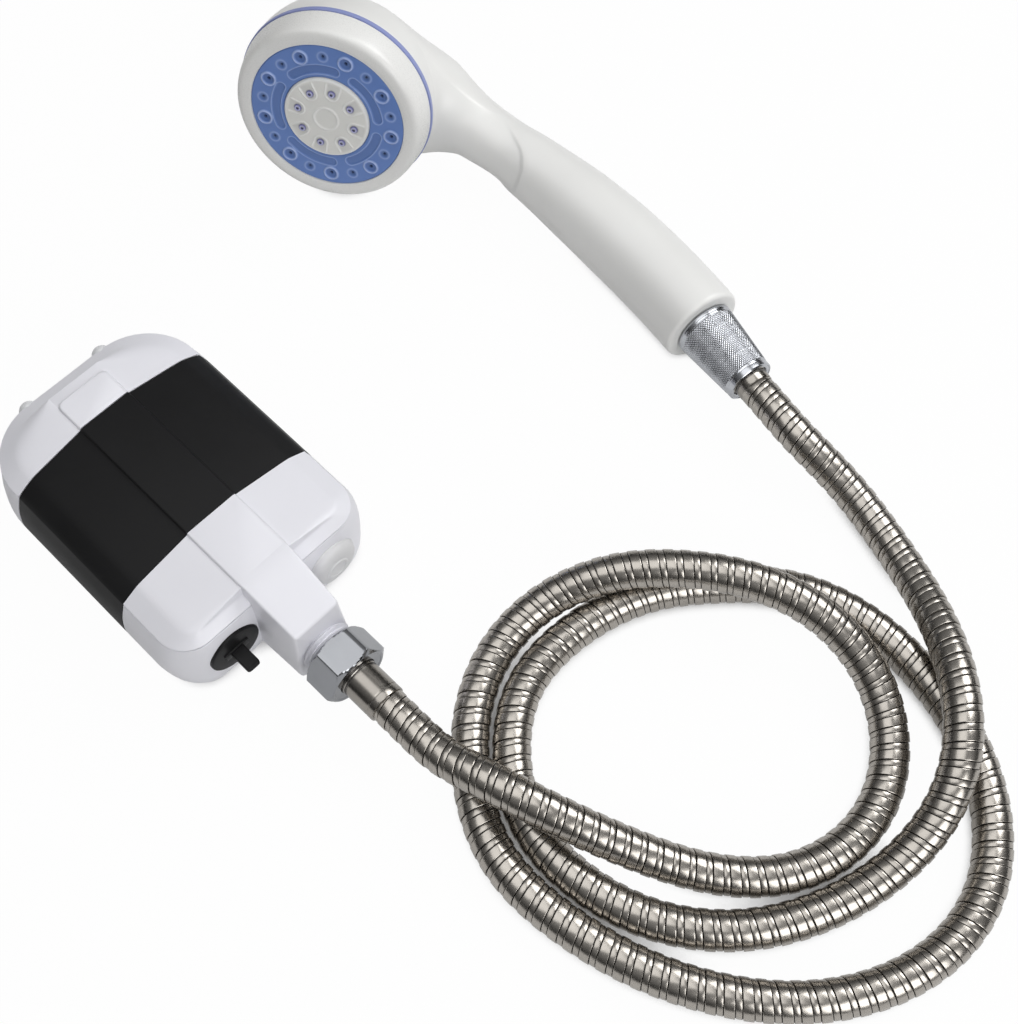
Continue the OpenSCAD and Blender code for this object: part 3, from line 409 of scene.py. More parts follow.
class Board:
    """A board of shader nodes."""

    def __init__(self, tree):
        self.tree = tree
        tree.nodes.clear()

    def make(self, kind, settings=None, sockets=None, out=0):
        """Adds a node: its settings first, then the values or links of its sockets."""
        node = self.tree.nodes.new(kind)
        for name, value in (settings or {}).items():
            if name == "stops":
                for k, (place, colour) in enumerate(value):
                    elements = node.color_ramp.elements
                    stop = elements[k] if k < len(elements) else elements.new(place)
                    stop.position = place
                    stop.color = (*colour, 1.0)
            else:
                setattr(node, name, value)
        for name, value in (sockets or {}).items():
            self.feed(node, name, value)
        return Signal(self, node.outputs[out]) if node.outputs else node

    def feed(self, node, name, value):
        """Sets one socket of a node, or links a signal to it."""
        if isinstance(value, Signal):
            self.tree.links.new(value.socket, node.inputs[name])
        elif isinstance(value, tuple) and node.inputs[name].type == "RGBA":
            node.inputs[name].default_value = (*value[:3], 1.0)
        else:
            node.inputs[name].default_value = value

    def maths(self, operation, first, second):
        return self.make("ShaderNodeMath", {"operation": operation}, {0: first, 1: second})

    def blend(self, share, low, high):
        """A colour between two colours."""
        settings = {"data_type": "RGBA", "clamp_factor": True}
        return self.make("ShaderNodeMix", settings, {0: share, 6: low, 7: high}, out=2)

    def spots(self, scale, detail=2.0):
        """Soft random spots in the object's own space; scale counts them in a metre."""
        place = self.make("ShaderNodeTexCoord", out=3)
        sockets = {"Vector": place, "Scale": scale, "Detail": detail}
        return self.make("ShaderNodeTexNoise", None, sockets)

    def bump(self, height, strength, distance):
        """A fine relief; the distance is in metres."""
        sockets = {"Strength": strength, "Distance": distance, "Height": height}
        return self.make("ShaderNodeBump", None, sockets)


class Finish(Board):
    """One material, with a shader for its surface."""

    def __init__(self, name, **constants):
        self.material = bpy.data.materials.new(name)
        self.material.use_nodes = True
        super().__init__(self.material.node_tree)
        shader = self.make("ShaderNodeBsdfPrincipled")
        self.shader = shader.socket.node
        self.make("ShaderNodeOutputMaterial", None, {"Surface": shader})
        for socket, value in constants.items():
            self.set(socket.replace("_", " "), value)

    def set(self, socket, value):
        self.feed(self.shader, socket, value)

    def tone(self):
        """The painted-light value that the form gave each point: painted shade where low, painted highlight
        where high.
        """
        return self.make("ShaderNodeAttribute", {"attribute_name": "tone"}, out=2)


def shade(colour, factor):
    """A colour made darker or lighter."""
    return tuple(min(v * factor, 1.0) for v in colour)


def moulded(name, colour, rough, grain=0.06):
    """Moulded plastic: faint clouds in its colour and a fine grain."""
    finish = Finish(name, IOR=1.46)
    clouds = finish.spots(28.0)
    fine = finish.spots(2400.0, 3.0)
    finish.set("Base Color", finish.blend(clouds, shade(colour, 0.965), shade(colour, 1.03)))
    finish.set("Roughness", rough + 0.1 * (fine - 0.5))
    finish.set("Normal", finish.bump(fine, grain, 0.0002))
    return finish.material


def rubber(name, colour, rough):
    """Soft rubber: a matt grain and faint rubbed patches."""
    finish = Finish(name, IOR=1.5, Specular_IOR_Level=0.16)
    patches = finish.spots(60.0, 4.0)
    fine = finish.spots(3500.0, 2.0)
    finish.set("Base Color", finish.blend(patches, shade(colour, 0.85), shade(colour, 1.2)))
    finish.set("Roughness", rough + 0.12 * (patches - 0.5))
    finish.set("Normal", finish.bump(fine, 0.12, 0.0002))
    return finish.material


def polished(name, colour, rough, marks=900.0, grain=0.05):
    """Plated or turned metal: soft clouds in its colour and fine marks in its gloss."""
    finish = Finish(name, Metallic=1.0)
    clouds = finish.spots(120.0, 3.0)
    fine = finish.spots(marks, 4.0)
    finish.set("Base Color", finish.blend(clouds, shade(colour, 0.9), shade(colour, 1.04)))
    finish.set("Roughness", rough + 0.12 * (fine - 0.5))
    finish.set("Normal", finish.bump(fine, grain, 0.0001))
    return finish.material


def painted_light_finish(name, low, middle, high, rough):
    """A finish that paints light from the form's values: painted shade in recesses and holes, the plain
    colour on faces, painted highlights on rims.
    """
    finish = Finish(name, IOR=1.46)
    # low is the colour of the painted shade, high that of the painted highlight
    stops = [(0.0, low), (0.5, middle), (1.0, high)]
    colour = finish.make("ShaderNodeValToRGB", {"stops": stops}, {"Fac": finish.tone()})
    clouds = finish.spots(45.0, 3.0)
    fine = finish.spots(2600.0, 3.0)
    dimmed = finish.make(
        "ShaderNodeMix",
        {"data_type": "RGBA", "blend_type": "MULTIPLY"},
        {0: 1.0, 6: colour, 7: finish.blend(clouds, (0.93, 0.93, 0.93), (1.0, 1.0, 1.0))},
        out=2,
    )
    finish.set("Base Color", dimmed)
    finish.set("Roughness", rough + 0.1 * (fine - 0.5))
    finish.set("Normal", finish.bump(fine, 0.05, 0.0002))
    return finish.material


def sizes():
    return bpy.context.scene.shower_sizes


def tint(name):
    """One of the colours that a user may change."""
    return tuple(getattr(bpy.context.scene.shower_colours, name))


class ShowerColours(bpy.types.PropertyGroup):
    """Colours of the finishes."""

    pump: bpy.props.FloatVectorProperty(
        name="Pump", description="White of the pump's shells", subtype="COLOR", size=3,
        default=paint(232, 232, 238), min=0, max=1)
    band: bpy.props.FloatVectorProperty(
        name="Band", description="Black of the rubber band", subtype="COLOR", size=3,
        default=paint(26, 26, 27), min=0, max=1)
    plug: bpy.props.FloatVectorProperty(
        name="Plug", description="Black of the charge plug", subtype="COLOR", size=3,
        default=paint(26, 26, 27), min=0, max=1)
    button: bpy.props.FloatVectorProperty(
        name="Button", description="Pale grey of the power button", subtype="COLOR", size=3,
        default=paint(210, 210, 211), min=0, max=1)
    steel: bpy.props.FloatVectorProperty(
        name="Hose", description="Steel of the wound strip", subtype="COLOR", size=3,
        default=paint(176, 171, 164), min=0, max=1)
    chrome: bpy.props.FloatVectorProperty(
        name="Nuts", description="Plating of the nuts", subtype="COLOR", size=3,
        default=paint(150, 152, 156), min=0, max=1)
    handset: bpy.props.FloatVectorProperty(
        name="Hand shower", description="White of the hand shower", subtype="COLOR", size=3,
        default=paint(232, 232, 230), min=0, max=1)
    ring: bpy.props.FloatVectorProperty(
        name="Nozzle ring", description="Blue of the nozzle ring", subtype="COLOR", size=3,
        default=paint(104, 136, 200), min=0, max=1)
    seam: bpy.props.FloatVectorProperty(
        name="Seam ring", description="Pale blue of the line round the head", subtype="COLOR", size=3,
        default=paint(140, 150, 200), min=0, max=1)


class ShowerSizes(bpy.types.PropertyGroup):
    """Sizes of the finer forms, and the camera's lens."""

    strip_pitch: bpy.props.FloatProperty(
        name="Strip pitch", description="Advance of the hose's wound strip in one turn",
        default=0.006, min=0.003, max=0.012, subtype="DISTANCE", unit="LENGTH")
    blend_voxel: bpy.props.FloatProperty(
        name="Neck fineness", description="Size of the grid that blends the neck into the head",
        default=0.0008, min=0.0005, max=0.002, subtype="DISTANCE", unit="LENGTH")
    neck_roll: bpy.props.FloatProperty(
        name="Neck roll", description="Width over which the neck rolls into the head",
        default=0.02, min=0.002, max=0.04, subtype="DISTANCE", unit="LENGTH")
    lens: bpy.props.FloatProperty(
        name="Lens", description="Focal length of the camera in millimetres",
        default=52.1, min=20, max=200, unit="CAMERA")


class SHOWER_OT_stage(bpy.types.Operator):
    """Sets up the camera, the pale floor and the soft light"""

    bl_idname = "shower.stage"
    bl_label = "Stage"

    def execute(self, context):
        scene = context.scene
        scene.view_settings.view_transform = "Standard"
        self.camera(scene)
        self.floor(scene)
        self.lamps(scene)
        self.sky(scene)
        return {"FINISHED"}

    def camera(self, scene):
        lens = bpy.data.cameras.new("camera")
        lens.lens = sizes().lens
        lens.sensor_width = 36
        camera = bpy.data.objects.new("camera", lens)
        scene.collection.objects.link(camera)
        camera.location = CAMERA_AT
        way = Vector(CAMERA_AIM) - camera.location
        camera.rotation_euler = way.to_track_quat("-Z", "Y").to_euler()
        scene.camera = camera

    def floor(self, scene):
        """A pale floor that the camera sees as white, apart from the object's shade on it."""
        half = 4.0
        depth = -0.0004
        mesh = bpy.data.meshes.new("floor")
        corners = [(-half, -half, depth), (half, -half, depth), (half, half, depth), (-half, half, depth)]
        mesh.from_pydata(corners, [], [(0, 1, 2, 3)])
        floor = bpy.data.objects.new("floor", mesh)
        scene.collection.objects.link(floor)
        material = bpy.data.materials.new("floor_white")
        material.use_nodes = True
        board = Board(material.node_tree)
        path = board.make("ShaderNodeLightPath").socket.node
        seen = Signal(board, path.outputs["Is Camera Ray"])
        mirrored = Signal(board, path.outputs["Is Glossy Ray"])
        through = Signal(board, path.outputs["Is Transmission Ray"])
        paper = board.make("ShaderNodeBsdfDiffuse", None, {"Color": (0.76, 0.76, 0.76)})
        glow = board.make("ShaderNodeEmission", None, {"Color": (1.0, 1.0, 1.0), "Strength": 1.0})
        # Narrow gaps between pieces keep their own shade
        gap = 0.007
        closed = 0.22
        steepness = 3.0
        openness = board.make("ShaderNodeAmbientOcclusion", {"samples": 8}, {"Distance": gap}, out=1)
        settings = {"operation": "MULTIPLY", "use_clamp": True}
        clear = board.make("ShaderNodeMath", settings, {0: openness - closed, 1: steepness})
        white_seen = 0.97
        white_mirrored = 0.25
        reflected = white_mirrored * board.maths("MAXIMUM", mirrored, through)
        share = board.maths("MAXIMUM", white_seen * seen * clear, reflected)
        surface = board.make("ShaderNodeMixShader", None, {0: share, 1: paper, 2: glow})
        board.make("ShaderNodeOutputMaterial", None, {"Surface": surface})
        mesh.materials.append(material)

    def lamps(self, scene):
        lamps = [
            ("key", (0.25, 0.95, 1.0), (0.1, 0.1, 0.0), 0.7, 8.0),
            ("top", (-0.1, -0.1, 1.4), (0.1, 0.1, 0.0), 1.2, 6.2),
            ("side", (1.1, -0.1, 0.6), (0.05, 0.08, 0.0), 0.7, 5.6),
        ]
        for name, place, target, width, power in lamps:
            light = bpy.data.lights.new(name, "AREA")
            light.shape = "SQUARE"
            light.size = width
            light.energy = power
            lamp = bpy.data.objects.new(name, light)
            scene.collection.objects.link(lamp)
            lamp.location = place
            lamp.rotation_euler = (Vector(target) - Vector(place)).to_track_quat("-Z", "Y").to_euler()

    def sky(self, scene):
        world = bpy.data.worlds.new("studio")
        world.use_nodes = True
        scene.world = world
        board = Board(world.node_tree)
        path = board.make("ShaderNodeLightPath").socket.node
        seen = Signal(board, path.outputs["Is Camera Ray"])
        place = board.make("ShaderNodeTexCoord", out=0)
        split = board.make("ShaderNodeSeparateXYZ", None, {"Vector": place}).socket.node
        height = Signal(board, split.outputs["Z"])
        greys = ((0.0, 0.06), (0.3, 0.1), (0.7, 0.45), (1.0, 0.6))
        stops = [(level, (grey, grey, grey)) for level, grey in greys]
        walls = board.make("ShaderNodeValToRGB", {"stops": stops}, {"Fac": height})
        colour = board.blend(seen, walls, (1.0, 1.0, 1.0))
        room = 0.55
        strength = room + (1 - room) * seen
        sky = board.make("ShaderNodeBackground", None, {"Color": colour, "Strength": strength})
        board.make("ShaderNodeOutputWorld", None, {"Surface": sky})


class Route:
    """A smooth line with frames that don't twist along it, in millimetres."""

    def __init__(self, points, side):
        self.points = points
        self.travel = [0.0]
        for a, b in zip(points, points[1:]):
            self.travel.append(self.travel[-1] + (b - a).length)
        self.length = self.travel[-1]
        self.frames = []
        last = len(points) - 1
        for i, point in enumerate(points):
            way = (points[min(i + 1, last)] - points[max(i - 1, 0)]).normalized()
            side = (side - way * side.dot(way)).normalized()
            self.frames.append((point, side, way.cross(side)))

    def at(self, s):
        """The middle, the side and the way up at a distance along the line."""
        row = min(max(bisect.bisect_right(self.travel, s) - 1, 0), len(self.points) - 2)
        step = self.travel[row + 1] - self.travel[row]
        t = min(max((s - self.travel[row]) / step, 0.0), 1.0)
        first, second = self.frames[row], self.frames[row + 1]
        return [a.lerp(b, t) for a, b in zip(first, second)]


def hose_route():
    """The middle line of the hose, from the pump's ferrule to the hand shower's."""
    out_point = Vector((HOSE_X0, 0, OUTLET_Z))
    out_way = Vector((1, 0, 0))
    end = handle_end()
    in_way = (end.to_3x3() @ Vector((0, 0, 1))).normalized()
    in_point = end @ Vector((0, 0, HOSE_END))
    spacing = 2 * HOSE_R
    guides = [out_point + k * spacing * out_way for k in (-1, 0, 1, 2)]
    guides += [Vector(p) for p in ROUTE]
    guides += [in_point + k * spacing * in_way for k in (2, 1, 0, -1)]
    steps = 30
    points = []
    for a, b, c, d in zip(guides, guides[1:], guides[2:], guides[3:]):
        for i in range(steps):
            t = i / steps
            point = (1 - t) ** 3 * a + (3 * t**3 - 6 * t * t + 4) * b
            points.append((point + (3 * t + 3 * t * t - 3 * t**3 + 1) * c + t**3 * d) / 6)
    points.append(in_point)
    return Route(points, Vector((0, 1, 0)))


class SHOWER_OT_hose(bpy.types.Operator):
    """Winds the ribbed hose along its loops"""

    bl_idname = "shower.hose"
    bl_label = "Hose"

    def execute(self, context):
        route = hose_route()
        pitch = sizes().strip_pitch / MM
        columns = 32
        rows = len(STRIP)
        turns = math.ceil(route.length / pitch) + 1
        groove = STRIP[0][1]
        seam = 0.45
        lower_face = 0.2
        points = []
        painted_lights = []
        for n in range(-1, turns):
            for share, depth in STRIP:
                for k in range(columns):
                    s = (n + share + k / columns) * pitch
                    inside = 0.0 < s < route.length
                    drop = depth if inside else groove
                    middle, side, up = route.at(min(max(s, 0.0), route.length))
                    angle = 2 * math.pi * k / columns
                    arm = side * math.cos(angle) + up * math.sin(angle)
                    points.append(middle + arm * (CREST_R - drop))
                    # Painted shade: points deep in the grooves between turns get 0, which the finish paints
                    # near black
                    painted_lights.append(0.0 if drop > seam else 0.8 if drop > lower_face else 1.0)
        faces = []
        count = len(points) // columns
        for m in range(count - rows - 1):
            for k in range(columns):
                a = m * columns + k
                b = a + 1 if k < columns - 1 else (m + rows) * columns
                faces.append((a, b, b + columns, a + columns))
        form = Form().add(points, faces, None, painted_lights)
        solids = ["hose", "hose_liner"]
        hose = make_piece("hose_strip", form, "shower_set", self.finish(), solids, 30)
        stretches = 400
        path = [tuple(route.at(route.length * k / stretches)[0] * MM) for k in range(stretches + 1)]
        return {"FINISHED"}

    def finish(self):
        steel = tint("steel")
        finish = Finish("hose_steel", Metallic=1.0)
        tone = finish.tone()
        clouds = finish.spots(160.0, 3.0)
        fine = finish.spots(1400.0, 3.0)
        worn = finish.blend(clouds, shade(steel, 0.86), shade(steel, 1.08))
        # Painted shade: the grooves between the turns of the strip are painted near black
        finish.set("Base Color", finish.blend(1.6 * tone, (0.03, 0.028, 0.026), worn))
        finish.set("Roughness", 0.36 - 0.1 * tone + 0.14 * (fine - 0.5))
        finish.set("Normal", finish.bump(fine, 0.05, 0.0001))
        return finish.material


def level_ring(near, far, side_y, z, drop=0.0):
    """One level of a shell: near and far are (x, y, radius) of a corner, drop is the band's recess."""
    ring = []
    near_x, near_y, near_r = near
    far_x, far_y, far_r = far

    def corner(x, y, r, start):
        for k in range(CORNER):
            a = math.radians(start + 90 * k / ARC)
            ring.append(Vector((x + r * math.cos(a), y + r * math.sin(a), z)))

    wall = BAND_GAP - 0.01
    edges = [BAND_X1 + BAND_GAP, BAND_X1 + wall, BAND_X0 - wall, BAND_X0 - BAND_GAP]
    corner(near_x, near_y, near_r, 0)
    ring += [Vector((x, side_y, z)) for x in edges]
    corner(far_x, far_y, far_r, 90)
    corner(far_x, -far_y, far_r, 180)
    ring += [Vector((x, -side_y, z)) for x in reversed(edges)]
    corner(near_x, -near_y, near_r, 270)
    if drop:
        for k in (CORNER + 1, CORNER + 2, 3 * CORNER + 5, 3 * CORNER + 6):
            p = ring[k]
            p.y *= 1 - drop / BODY_HALF
            p.z += drop * (1 - p.z / SEAM_Z) if p.z < SEAM_Z else -drop * (p.z - SEAM_Z) / SEAM_TO_TOP
    return ring


def side_ring(z, side, far, near, inset=0.0, drop=0.0):
    """A level of the shells from its swell at the sides and at both ends."""
    near_corner = (BODY_L / 2 - NEAR_R - side + near, SEAM_W / 2 - NEAR_R, NEAR_R + side - inset)
    far_corner = (-BODY_L / 2 + FAR_R + side - far, SEAM_W / 2 - FAR_R, FAR_R + side - inset)
    return level_ring(near_corner, far_corner, SEAM_W / 2 + side - inset, z, drop)


def rear_ring(z, inset=0.0, drop=0.0):
    swell = [smooth(table, z) for table in (SIDE_SWELL, FAR_SWELL, NEAR_SWELL)]
    return side_ring(max(z, inset), *swell, inset, drop)


def knee_ring(inset, drop):
    return side_ring(KNEE[0] - KNEE_INSET * inset, *KNEE[1:], inset, drop)


def crown_ring(inset, drop):
    near = (CROWN_X1 - inset, PANEL_HALF, CROWN_CORNER)
    far = (CROWN_X0 + inset, PANEL_HALF, CROWN_CORNER)
    return level_ring(near, far, PANEL_HALF, CROWN_Z - inset, drop)


def between(first, second, t):
    return [a.lerp(b, t) for a, b in zip(first, second)]


def bend(first, knee, second, t):
    return [(1 - t) ** 2 * a + 2 * t * (1 - t) * k + t * t * b for a, k, b in zip(first, knee, second)]


def front_rings(drop=0.0):
    """Levels of the front shell, from the seam over the knee to the crown."""
    low = side_ring(SEAM_Z + SEAM_GAP + 0.1, 0, 0, 0, 0, drop)
    knee = knee_ring(0, drop)
    crown = crown_ring(0, drop)
    start = between(low, knee, 0.8)
    end = between(knee, crown, 0.12)
    rings = [low, between(low, knee, 0.3)]
    rings += [bend(start, knee, end, k / 8) for k in range(9)]
    rings += [between(knee, crown, t) for t in (0.3, 0.5, 0.7, 0.9, 1.0)]
    return rings


def shell_form(rings):
    """A shell from its levels, with ends that are split along the band."""
    count = len(rings[0])
    faces = quads(len(rings), count)
    one = CORNER
    two = 3 * CORNER + 4
    for first in (0, (len(rings) - 1) * count):
        faces.append(tuple(first + k for k in range(one + 3, two + 1)))
        for k in (2, 1, 0):
            low, high = first + one + k, first + two + 2 - k
            faces.append((low, low + 1, high, high + 1))
        faces.append(tuple(first + k for k in [*range(two + 3, count), *range(one + 1)]))
    return Form().add([p for ring in rings for p in ring], faces)


class SHOWER_OT_shells(bpy.types.Operator):
    """Moulds the two halves of the pump body"""

    bl_idname = "shower.shells"
    bl_label = "Pump shells"

    def execute(self, context):
        white = moulded("pump_white", tint("pump"), 0.38)
        self.rear(white)
        self.front(white)
        return {"FINISHED"}

    def rear(self, white):
        top = SEAM_Z - SEAM_GAP
        lip = [(0.25, 0), (0.07, 0.08), (0, 0.28)]
        rings = [rear_ring(z, 0, BAND_DROP) for z in SIDE_HEIGHTS]
        rings += [rear_ring(top - below, inset, BAND_DROP) for below, inset in lip]
        rings += [rear_ring(z, WALL) for z in (top, 30, 24, 18, 12, 7, WALL)]
        form = shell_form(rings)
        shell = make_piece("rear_half", form, "shower_set", white, ["rear_shell"])
        cut(shell, self.openings())

    def openings(self):
        """The intake window, the bores of the button and the plug, and the screw holes."""
        form = Form()
        window = [(-20, 12), (20, 12), (20, 27), (-20, 27)]
        outline = rounded(window, [1.0] * 4, 4)
        form.loft([[(x, p.x, p.y) for p in outline] for x in (-70.0, -55.6)])
        bore = 10.66
        neck = 7.96
        mouth = [(bore, 8), (0, 8)]
        form.turn([(0, -10), (bore, -10), *mouth], along_x(NEAR_FACE, CONTROL_Y), 64)
        steps = [(0, -10), (neck, -10), (neck, -0.9), (bore, -0.9), *mouth]
        form.turn(steps, along_x(NEAR_FACE, -CONTROL_Y), 64)
        hole = [(0, -1), (2.9, -1), (2.6, 0.3), (2.6, 2.1), (0, 2.1)]
        for x, y in ((-42, 31.5), (-42, -31.5), (34, 33), (34, -33)):
            form.turn(hole, Matrix.Translation((x, y, 0)), 32)
        return form

    def front(self, white):
        low = SEAM_Z + SEAM_GAP
        lip = [(0.03, 0.08), (0, 0.3), (0, WALL)]
        rings = front_rings(BAND_DROP)[::-1]
        rings += [side_ring(low + above, 0, 0, 0, inset, BAND_DROP) for above, inset in lip]
        rings.append(knee_ring(WALL, BAND_DROP))
        rings.append(crown_ring(WALL, BAND_DROP))
        form = shell_form(rings)
        square = 0.1
        self.panel(form, PANEL_X0, BAND_X0 - BAND_GAP, [3.0, square, square, 3.0])
        self.panel(form, BAND_X1 + BAND_GAP, SPOUT_X0 + 0.2, [square] * 4)
        make_piece("front_half", form, "shower_set", white, ["front_shell"])

    def panel(self, form, x0, x1, radii):
        """A stretch of the raised strip, with soft upper edges."""
        levels = [(44.0, -0.25), (45.55, -0.25), (45.8, 0.0), (46.1, 0.08), (46.32, 0.25), (46.45, 0.5)]
        rings = []
        for z, inset in [*levels, (PANEL_Z, 0.9)]:
            half = PANEL_HALF - inset
            start = x0 + inset if radii[0] > 1 else x0
            corners = [(start, -half), (x1, -half), (x1, half), (start, half)]
            outline = rounded(corners, radii)
            rings.append([(p.x, p.y, z) for p in outline])
        form.loft(rings)


def band_section(inset):
    """The pump's outline across the band, as (y, z) points once round."""
    half = [(0.0, 0.0), (18.0, 0.0)]
    for z in [*SIDE_HEIGHTS, SEAM_Z - SEAM_GAP]:
        half.append((SEAM_W / 2 + smooth(SIDE_SWELL, z), z))
    half.append((SEAM_W / 2 - 0.05, SEAM_Z))
    for ring in front_rings()[1:-1]:
        half.append((ring[CORNER].y, ring[CORNER].z))
    half += [(11.6, 45.42), (11.15, 45.62), (11.0, 45.9), (10.92, 46.15), (10.7, 46.35), (10.4, 46.46)]
    half += [(10.0, PANEL_Z), (0.0, PANEL_Z)]
    outline = [Vector(p) for p in half] + [Vector((-y, z)) for y, z in reversed(half[1:-1])]
    shrunk = []
    for k, p in enumerate(outline):
        way = (outline[(k + 1) % len(outline)] - outline[k - 1]).normalized()
        shrunk.append(p + inset * Vector((-way.y, way.x)))
    return shrunk


class SHOWER_OT_band(bpy.types.Operator):
    """Stretches the rubber band round the pump's middle"""

    bl_idname = "shower.band"
    bl_label = "Grip band"

    def execute(self, context):
        stations = [(0.0, 0.55), (0.1, 0.25), (0.3, 0.06), (0.6, 0.0)]
        rings = []
        for x, inset in stations:
            rings.append([(BAND_X0 + x, p.x, p.y) for p in band_section(inset)])
        for x, inset in reversed(stations):
            rings.append([(BAND_X1 - x, p.x, p.y) for p in band_section(inset)])
        for x in (BAND_X1, BAND_X0):
            rings.append([(x, p.x, p.y) for p in band_section(BAND_T)])
        form = Form().loft(rings, loop=True)
        black = rubber("band_black", tint("band"), 0.5)
        make_piece("rubber_band", form, "shower_set", black, ["grip_band"], 30)
        return {"FINISHED"}


class SHOWER_OT_spout(bpy.types.Operator):
    """Moulds the outlet spout and its thread"""

    bl_idname = "shower.spout"
    bl_label = "Outlet spout"

    def execute(self, context):
        form = Form()
        stations = [(run, 0) for run in (-1.0, 0.0, 1.5, 3, 4.5, 6, 8, 15, 20, 24)]
        stations += [(25.8, 0.03), (26.3, 0.13), (26.75, 0.36), (27.05, 0.7), (27.25, 1.25)]
        length = SPOUT_X1 - SPOUT_X0
        bend_end = 8
        descent = 6.5
        rings = []
        for run, shrink in stations:
            share = max(run, 0.0) / length
            low = 4 + share + shrink
            low_half = 12.8 - 0.8 * share - shrink
            sunk = run * run / (2 * bend_end) if run < bend_end else run - bend_end / 2
            high = PANEL_Z - 0.01 - descent * sunk / (length - bend_end / 2) - shrink
            high_half = PANEL_HALF - share - shrink
            corners = [(-low_half, low), (low_half, low), (high_half, high), (-high_half, high)]
            outline = rounded(corners, [3.0, 3.0, 1.0, 1.0])
            rings.append([(SPOUT_X0 + run, p.x, p.y) for p in outline])
        form.loft(rings)
        form.turn(self.thread(), along_x(SPOUT_X1), 96)
        white = moulded("spout_white", tint("pump"), 0.36)
        make_piece("spout", form, "shower_set", white, ["outlet_spout"])
        return {"FINISHED"}

    def thread(self):
        crest, root, pitch = 10.4, 9.1, 1.9
        flank = [(0.0, 0.0), (0.12, 0.3), (0.28, 0.85), (0.42, 1.0), (0.56, 0.85), (0.72, 0.3), (0.85, 0.0)]
        profile = [(4.5, -2.0), (root, -2.0), (root, 0.5)]
        for k in range(6):
            start = 0.6 + k * pitch
            for share, lift in flank:
                profile.append((root + lift * (crest - root), start + share * pitch))
        profile += [(root, 12.2), (root - 0.5, 12.7), (4.5, 12.7)]
        return profile


class SHOWER_OT_controls(bpy.types.Operator):
    """Makes the power button and the charge plug"""

    bl_idname = "shower.controls"
    bl_label = "Button and plug"

    def execute(self, context):
        self.button()
        self.plug()
        return {"FINISHED"}

    def button(self):
        profile = [(0, 0), (10.55, 0), (10.55, 2.5), (10.45, 2.8), (10.2, 3.0)]
        for degrees in range(6, 91, 7):
            a = math.radians(degrees)
            profile.append((5.1 + 5.0 * math.cos(a), 3 + 3 * math.sin(a)))
        profile += [(4.75, 6.02), (4.55, 6.2), (4.4, 6.42), (4.1, 6.5), (3.75, 6.45), (3.5, 6.25)]
        profile += [(3.35, 6.08), (2.5, 6.04), (1.2, 6.02), (0, 6.02)]
        form = Form().turn(profile, along_x(NEAR_FACE - 2.4, CONTROL_Y), 96)
        form.turn([(0, 0), (2.5, 0), (2.5, 2.5), (0, 2.5)], along_x(55.7, CONTROL_Y), 32)
        grey = moulded("button_grey", tint("button"), 0.42)
        make_piece("button_pad", form, "power_button", grey, ["power_button"])

    def plug(self):
        form = Form()
        place = along_x(59.2, -CONTROL_Y)
        profile = [(0, -9.2), (2.4, -9.2), (2.9, -8.6), (2.9, -2.2), (7.5, -2.2), (7.9, -1.8), (7.9, 0)]
        profile += [(10.4, 0), (10.6, 0.2), (10.6, 1.1), (10.5, 1.45), (10.25, 1.7), (9.8, 1.8), (6, 1.86)]
        profile.append((0, 1.9))
        form.turn(profile, place, 96)
        self.bar(form, 10.6, 4.4, 60.6, 61.7, 0.4)
        self.bar(form, 5.6, 2.7, 60.6, 71.0, 1.2)
        black = rubber("plug_black", tint("plug"), 0.42)
        make_piece("plug_disc", form, "charge_plug", black, ["charge_plug"])

    def bar(self, form, width, height, x0, x1, soft):
        """A bar that stands out of the disc, with soft edges."""
        edge = [(1.0, 0.0), (0.6, 0.1), (0.25, 0.35), (0.0, 0.9)]
        levels = [(x0, 0.0), *((x1 - back * soft, inset * soft) for back, inset in edge)]
        rings = []
        for x, inset in levels:
            half, tall = width / 2 - inset, height / 2 - inset * 0.9
            corners = [(-half, -tall), (half, -tall), (half, tall), (-half, tall)]
            outline = rounded(corners, [0.6] * 4, 4)
            rings.append([(x, p.x - CONTROL_Y, p.y + OUTLET_Z) for p in outline])
        form.loft(rings)


class SHOWER_OT_feet(bpy.types.Operator):
    """Makes the ball feet at the intake end"""

    bl_idname = "shower.feet"
    bl_label = "Ball feet"

    def execute(self, context):
        form = Form()
        radius = 4.0
        ball = [(0.0, radius)]
        for degrees in range(6, 108, 6):
            a = math.radians(degrees)
            ball.append((radius * math.sin(a), radius * math.cos(a)))
        ball += [(3.1, -1.6), (2.2, -2.2), (2.0, -4.0), (0, -4.0)]
        for y in (17, -17):
            for z in (33, 6.5):
                place = Matrix.Translation((-58.85, y, z)) @ Matrix.Rotation(math.radians(-90), 4, "Y")
                form.turn(ball, place, 40)
        finish = Finish("foot_clear", IOR=1.45)
        clouds = finish.spots(300.0)
        finish.set("Base Color", finish.blend(clouds, paint(222, 223, 225), paint(232, 233, 235)))
        finish.set("Roughness", 0.22 + 0.1 * clouds)
        make_piece("ball_feet", form, "shower_set", finish.material, ["feet"])
        return {"FINISHED"}


